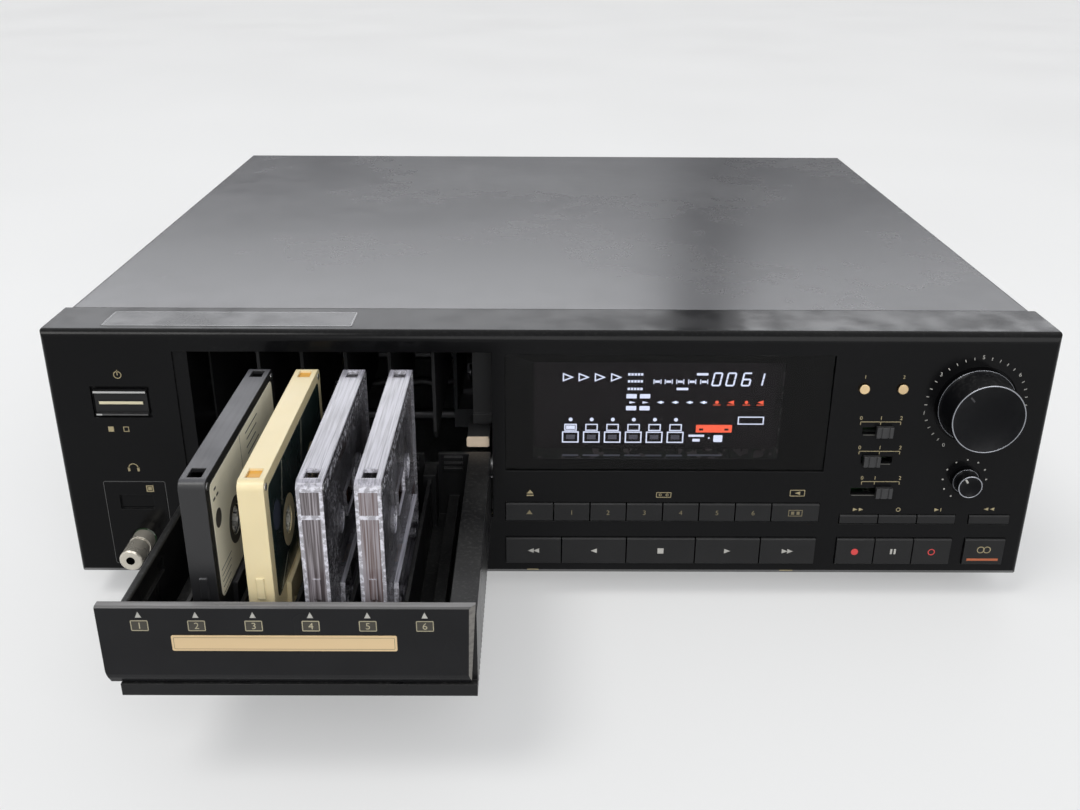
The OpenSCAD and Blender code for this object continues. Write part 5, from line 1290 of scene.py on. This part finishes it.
class DECK_OT_cassettes(bpy.types.Operator):
    """Labels, windows, tabs, reels and screws of the four cassettes"""

    bl_idname = "deck.cassettes"
    bl_label = "Cassettes"

    def sides(self, node, material, slot, draw, name):
        """One drawing on each broad side: draw(drawing) works in (along, up) from the lower near corner."""
        low, high = inner_box(node)
        middle = (low[0] + high[0]) / 2
        for side, start, word in ((1, low[1] + SHELL_LUG, "right"), (-1, high[1] - SHELL_LUG, "left")):
            drawn = Drawing((middle + side * SHELL_HALF, start, low[2]), right=(0, side, 0))
            draw(drawn)
            drawn.piece("%s_%s_%s" % (node, name, word), node, material, slot)

    def execute(self, context):
        c = colours()
        thick = mm(sizes().label)
        paper = finish(
            "label_paper", tuple(c.paper), rough=0.7, grain=1600, depth=0.2, mottle=0.08, edge=0.0, dust=0.0,
            smudge=0.05,
        )
        ink = printed("label_ink", (0.05, 0.045, 0.04), rough=0.6)
        green = printed("label_green", (0.006, 0.016, 0.015), rough=0.3, grain=1200)
        line = printed("label_line", (0.62, 0.60, 0.48), rough=0.5)
        smoke = finish("reel_window", (0.02, 0.02, 0.02), rough=0.12, depth=0.02, edge=0.0, dust=0.0)
        over = {"low": thick, "high": thick + 0.02}
        holes = [disc_loop(along, HUB_LEVEL, 5.4) for along in HUBS]
        window = box_loop(39.6, 29.0, 60.8, 39.8, 1.0)

        def paper_label(d):
            d.add(box_loop(4.5, 17.2, 95.9, 60.2, 2.5), holes + [window], high=thick)

        def paper_lines(d):
            d.add(bar_loop(44.0, 43.5, 44.0, 60.0, 0.3), **over)
            for k in range(5):
                d.add(bar_loop(52.0 + k % 2, 57.0 - k * 2.9, 70.0 - 2 * (k % 3), 57.0 - k * 2.9, 0.5), **over)
                d.add(bar_loop(6.5, 27.0 - k * 2.2, 19.5 - k, 27.0 - k * 2.2, 0.3), **over)
            for u, v in ((8.5, 56.2), (10.5, 53.2), (6.8, 53.2)):
                d.add(box_loop(u, v, u + 2.4, v + 0.9), **over)
            d.add(disc_loop(10.2, 45.4, 3.4, 28), **over)
            for along in HUBS:
                d.add(disc_loop(along, HUB_LEVEL, 8.6, 40), [disc_loop(along, HUB_LEVEL, 5.5, 32)], **over)

        def window_glass(d):
            d.add(box_loop(39.8, 29.2, 60.6, 39.6, 0.9), low=-0.6, high=-0.2)

        for material, draw, name in (
            (paper, paper_label, "label"), (ink, paper_lines, "ruling"), (smoke, window_glass, "window"),
        ):
            self.sides("cassette_black", material, "shell_black", draw, name)

        def green_label(d):
            rounds = [disc_loop(along, HUB_LEVEL, 9.4, 40) for along in HUBS]
            d.add(box_loop(5.0, 16.8, 95.4, 59.6, 2.5), rounds + [window], high=thick)

        def green_lines(d):
            for u in (26.0, 60.0):
                d.add(bar_loop(u, 59.2, u - 5.0, 44.6, 0.4), **over)
                d.add(bar_loop(u - 16.0, 17.4, u - 3.0, 24.6, 0.4), **over)

        def blue_spot(d):
            d.add(disc_loop(13.0, 45.0, 5.2, 32), **over)

        blue = printed("label_blue", (0.045, 0.055, 0.085), rough=0.35)
        for material, draw, name in (
            (green, green_label, "label"), (line, green_lines, "ruling"),
            (smoke, window_glass, "window"), (blue, blue_spot, "spot"),
        ):
            self.sides("cassette_cream", material, "shell_cream", draw, name)
        low, high = inner_box("cassette_cream")
        tabs = Drawing(((low[0] + high[0]) / 2, (low[1] + high[1]) / 2, high[2]), up=(0, 1, 0))
        for v in (-43, 43):
            tabs.add(box_loop(-2.35, v - 3.25, 2.35, v + 3.25), low=-2.6, high=-0.9)
        amber = finish("tab_amber", (0.66, 0.34, 0.05), rough=0.45, grain=1200, depth=0.1, edge=0.0, dust=0.0)
        tabs.piece("cassette_cream_tabs", "cassette_cream", amber, "shell_cream")
        self.screws()
        for node, packs in (("cassette_clear_a", (22.0, 15.0)), ("cassette_clear_b", (17.0, 20.5))):
            self.reels(node, packs)
        return {"FINISHED"}

    def across(self, node, shift, high=0.05):
        """Drawing square to x, shift from a cassette's middle: u runs along the shell, v up from its foot."""
        low, top = inner_box(node)
        middle = (low[0] + top[0]) / 2
        return Drawing((middle + shift, low[1] + SHELL_LUG, low[2]), right=(0, 1, 0), high=high)

    def screws(self):
        """Four screws on the right side of each shell, as low discs with a cross painted dark as the shade in
        its recess.
        """
        steel = finish(
            "shell_screw", (0.55, 0.55, 0.56), rough=0.3, grain=1500, depth=0.05, edge=0.2, sockets=METAL
        )
        # painted shade: the cross is a dark raised mark standing for the shade inside the screw's recess
        dark = finish("shell_screw_slot_shade", (0.03, 0.03, 0.03), rough=0.5)
        for node in CASSETTES:
            heads = self.across(node, SHELL_HALF, 0.15)
            cross = self.across(node, SHELL_HALF)
            for u, v in ((3.0, 60.9), (97.4, 60.9), (2.9, 13.6), (97.5, 13.6)):
                heads.add(disc_loop(u, v, 1.35, 20))
                cross.add(bar_loop(u - 0.8, v, u + 0.8, v, 0.3), low=0.15, high=0.17)
                cross.add(bar_loop(u, v - 0.8, u, v + 0.8, 0.3), low=0.15, high=0.175)
            heads.piece(node + "_screws", node, steel, "shell_black")
            cross.piece(node + "_screw_slot_shades", node, dark, "shell_black")

    def reels(self, node, packs):
        """Wound tape, hubs, liners and pressure pad inside a clear shell; packs are the tape's radii."""
        tape = finish(
            "tape_brown", (0.085, 0.045, 0.030), rough=0.28, grain=1500, depth=0.1, edge=0.0, dust=0.0
        )
        hub = finish("hub_white", (0.62, 0.61, 0.60), rough=0.4, grain=1200, depth=0.1, edge=0.0, dust=0.0)
        liner = finish("liner_grey", (0.26, 0.25, 0.27), rough=0.25, grain=800, depth=0.1, edge=0.0, dust=0.0)
        copper = finish(
            "pad_copper", (0.50, 0.30, 0.18), rough=0.35, grain=1400, depth=0.1, sockets={"Metallic": 0.8}
        )
        wound = self.across(node, -1.6, 3.2)
        core = self.across(node, -2.9, 5.8)
        for along, radius in zip(HUBS, packs):
            wound.add(disc_loop(along, HUB_LEVEL, radius, 64), [disc_loop(along, HUB_LEVEL, 10.95, 40)])
            core.add(disc_loop(along, HUB_LEVEL, 10.7, 48), [disc_loop(along, HUB_LEVEL, 5.0, 30)])
        wound.piece(node + "_tape", node, tape, "shell_clear")
        core.piece(node + "_hubs", node, hub, "shell_clear")
        sheet = self.across(node, 0.0)
        holes = [disc_loop(along, HUB_LEVEL, 11.2) for along in HUBS]
        holes.append(box_loop(42.0, 28.5, 58.4, 40.3, 1.0))
        for side in (-3.2, 3.16):
            sheet.add(box_loop(12.0, 17.0, 88.4, 52.0, 3.0), holes, low=side, high=side + 0.04)
        sheet.piece(node + "_liners", node, liner, "shell_clear")
        spring = self.across(node, -2.6, 5.2)
        spring.add(box_loop(44.0, 7.6, 56.4, 8.0)).add(box_loop(47.5, 6.9, 52.9, 7.6, 0.2))
        spring.piece(node + "_pressure_pad", node, copper, "shell_clear")


class DECK_OT_guide_pad(bpy.types.Operator):
    """Felt pad on the guide's tongue, over the tray's rim"""

    bl_idname = "deck.guide_pad"
    bl_label = "Pad of the guide"

    def execute(self, context):
        felt = finish(
            "pad_beige", (0.62, 0.50, 0.38), rough=0.8, grain=1800, depth=0.6, mottle=0.15, edge=0.0,
            dust=0.0,
        )
        pad = Drawing((0, 6.0, 0), high=0.9)
        pad.add(box_loop(-36.3, 61.35, -26.6, 65.9, 0.8))
        pad.piece("guide_pad", "case", felt, "guide_black")
        return {"FINISHED"}


class DECK_OT_rear(bpy.types.Operator):
    """Coloured rings and numbers at the jacks on the rear"""

    bl_idname = "deck.rear"
    bl_label = "Rear"

    def execute(self, context):
        white = finish("jack_ring_white", (0.75, 0.75, 0.73), rough=0.4, grain=1300, depth=0.1)
        red = finish("jack_ring_red", (0.55, 0.03, 0.03), rough=0.4, grain=1300, depth=0.1)
        pale = FINISHES["print_pale"]
        face = inner_box("rear_panel")[1][1]
        rows = (56, 74)
        for u, material in ((148, white), (168, red)):
            drawn = Drawing((0, face + 1.0, 0), right=(-1, 0, 0), high=1.4)
            for v in rows:
                drawn.add(disc_loop(-u, v, 6.1, 40), [disc_loop(-u, v, 4.35, 40)])
            drawn.piece("jack_rings_%d" % u, "case", material, "rear_paint")
        marks = Drawing((0, face + SUNK, 0), right=(-1, 0, 0), high=0.04)
        for k, v in enumerate(rows):
            marks.figure(str(k + 1), -158, v, 3.0)
        marks.line(box_loop(-177, 46, -139, 84, 1.5), 0.3)
        marks.piece("jack_marks", "case", pale, "rear_paint")
        return {"FINISHED"}


class DECK_OT_stage(bpy.types.Operator):
    """Pale floor and backdrop, suns, two softboxes seen only in sheen, and the camera"""

    bl_idname = "deck.stage"
    bl_label = "Studio"

    def execute(self, context):
        scene = context.scene
        scene.view_settings.view_transform = "Standard"
        x = np.linspace(-12, 12, 13)
        for name, profile, material in (
            ("studio_floor", [(y, 0.0) for y in (-9, -3, 0, 3, 9)], self.floor_material()),
            ("studio_wall", [(9.0, z) for z in (0, 1, 2, 3, 4, 5, 6)], self.wall_material()),
        ):
            y, z = np.array(profile).T
            across, deep = np.meshgrid(x, y)
            rise = np.repeat(z[:, None], len(x), 1)
            mesh = skin(name, (np.stack([across, deep, rise], -1)[:, ::-1] - ZERO) / MM, wrap_v=False)
            mesh.materials.append(material)
            piece = bpy.data.objects.new(name, mesh)
            scene.collection.objects.link(piece)
        world = bpy.data.worlds.new("studio")
        scene.world = world
        world.use_nodes = True
        n = Nodes(world.node_tree)
        n.tree.nodes.clear()
        seen = n.node("ShaderNodeBackground", {"Color": (0.855, 0.855, 0.855, 1), "Strength": 1.0})
        light = n.node("ShaderNodeBackground", {"Color": (0.94, 0.97, 1.0, 1), "Strength": 0.52})
        path = n.node("ShaderNodeLightPath")
        direct = n.math("MAXIMUM", path.outputs["Is Camera Ray"], path.outputs["Is Glossy Ray"])
        direct = n.math("MAXIMUM", direct, path.outputs["Is Transmission Ray"])
        blend = n.node("ShaderNodeMixShader", {0: direct, 1: light.outputs[0], 2: seen.outputs[0]})
        n.node("ShaderNodeOutputWorld", {"Surface": blend.outputs[0]})
        for name, toward, power, spread, tint in (
            ("key_sun", (0.45, 0.35, -1.0), 1.08, 24.0, (1.0, 0.99, 0.97)),
            ("front_sun", (-0.32, 0.95, -0.6), 1.7, 50.0, (1.0, 1.0, 1.0)),
        ):
            lamp = bpy.data.lights.new(name, "SUN")
            lamp.energy = power
            lamp.angle = math.radians(spread)
            lamp.color = tint
            holder = bpy.data.objects.new(name, lamp)
            scene.collection.objects.link(holder)
            holder.location = (-toward[0], -toward[1], 1.5)
            holder.rotation_euler = Vector(toward).to_track_quat("-Z", "Y").to_euler()
        for name, place, width, height, power in (
            ("rear_softbox", (-1.3, 2.2, 1.1), 3.3, 0.6, 13.0),
            ("rear_strip", (1.1, 2.15, 0.98), 1.2, 0.2, 2.8),
        ):
            lamp = bpy.data.lights.new(name, "AREA")
            lamp.shape = "RECTANGLE"
            lamp.size, lamp.size_y = width, height
            lamp.energy = power
            lamp.color = (0.96, 0.97, 1.0)
            holder = bpy.data.objects.new(name, lamp)
            scene.collection.objects.link(holder)
            holder.location = place
            holder.visible_diffuse = False
            holder.rotation_euler = Vector((0, -2.1, 0.1 - place[2])).to_track_quat("-Z", "Y").to_euler()
        data = bpy.data.cameras.new("camera")
        data.lens = mm(sizes().lens)
        data.sensor_width = 36.0
        data.clip_start = 0.01
        camera = bpy.data.objects.new("camera", data)
        scene.collection.objects.link(camera)
        camera.location = (-0.00667, -0.55442, 0.28314)
        yaw, pitch, roll = math.radians(0.253), math.radians(-23.633), math.radians(0.306)
        heading, tilt = Matrix.Rotation(-yaw, 4, "Z"), Matrix.Rotation(TAU / 4 + pitch, 4, "X")
        camera.rotation_euler = (heading @ tilt @ Matrix.Rotation(roll, 4, "Z")).to_euler()
        scene.camera = camera
        return {"FINISHED"}

    def floor_material(self):
        """Pale floor: a share of its paleness is seen by the camera and in reflections whatever the light."""
        material, n, shader = new_material("studio_floor")
        where = n.place()
        slow = n.noise(where, 3.0, 2.0)
        n.put(shader.inputs["Base Color"], n.mix(slow, (0.50, 0.50, 0.50, 1), (0.52, 0.52, 0.52, 1)))
        n.put(shader.inputs["Roughness"], n.ramp(slow, 0.3, 0.7, 0.30, 0.36))
        shader.inputs["Specular IOR Level"].default_value = 0.04
        path = n.node("ShaderNodeLightPath")
        seen = n.math("MAXIMUM", path.outputs["Is Camera Ray"], path.outputs["Is Glossy Ray"])
        seen = n.math("MAXIMUM", seen, path.outputs["Is Transmission Ray"])
        n.put(shader.inputs["Emission Color"], n.mix(seen, (0, 0, 0, 1), (0.33, 0.33, 0.33, 1)))
        shader.inputs["Emission Strength"].default_value = 1.0
        return material

    def wall_material(self):
        """Wall past the view, seen in reflections: dark at its foot, paler above, with soft upright bands."""
        material, n, shader = new_material("studio_wall")
        where = n.place()
        height = n.part(where, "Z")
        rise = n.ramp(height, 2.4, 5.2, smooth=True)
        bands = n.noise(n.stretched(where, (1.0, 1.0, 0.05)), 1.1, 2.0)
        bands = n.ramp(bands, 0.35, 0.65, 0.75, 1.0, smooth=True)
        tone = n.math("MULTIPLY", rise, bands)
        n.put(shader.inputs["Base Color"], n.mix(tone, (0.05, 0.05, 0.055, 1), (0.75, 0.75, 0.78, 1)))
        shader.inputs["Roughness"].default_value = 1.0
        shader.inputs["Specular IOR Level"].default_value = 0.0
        return material


class DECK_PT_panel(bpy.types.Panel):
    """Buttons for the pieces, and the sizes and colours they use"""

    bl_idname = "DECK_PT_panel"
    bl_label = "Cassette changer deck"
    bl_space_type = "VIEW_3D"
    bl_region_type = "UI"
    bl_category = "Deck"

    def draw(self, context):
        for operator in OPERATORS:
            self.layout.operator(operator.bl_idname)
        for group_name in ("deck_sizes", "deck_colours"):
            settings = getattr(context.scene, group_name)
            for name in settings.bl_rna.properties.keys():
                if name not in {"rna_type", "name"}:
                    self.layout.prop(settings, name)


OPERATORS = (
    DECK_OT_stage,
    DECK_OT_finishes,
    DECK_OT_panel_print,
    DECK_OT_key_marks,
    DECK_OT_display,
    DECK_OT_knobs,
    DECK_OT_drawer,
    DECK_OT_sticker,
    DECK_OT_cassettes,
    DECK_OT_guide_pad,
    DECK_OT_rear,
)
CLASSES = (DeckColours, DeckSizes) + OPERATORS + (DECK_PT_panel,)


def register():
    for cls in CLASSES:
        bpy.utils.register_class(cls)
    bpy.types.Scene.deck_colours = PointerProperty(type=DeckColours)
    bpy.types.Scene.deck_sizes = PointerProperty(type=DeckSizes)


def unregister():
    del bpy.types.Scene.deck_sizes
    del bpy.types.Scene.deck_colours
    for cls in reversed(CLASSES):
        bpy.utils.unregister_class(cls)


def main():
    register()
    for operator in OPERATORS:
        name = operator.bl_idname.split(".")[1]
        getattr(bpy.ops.deck, name)()


if __name__ == "__main__":
    main()
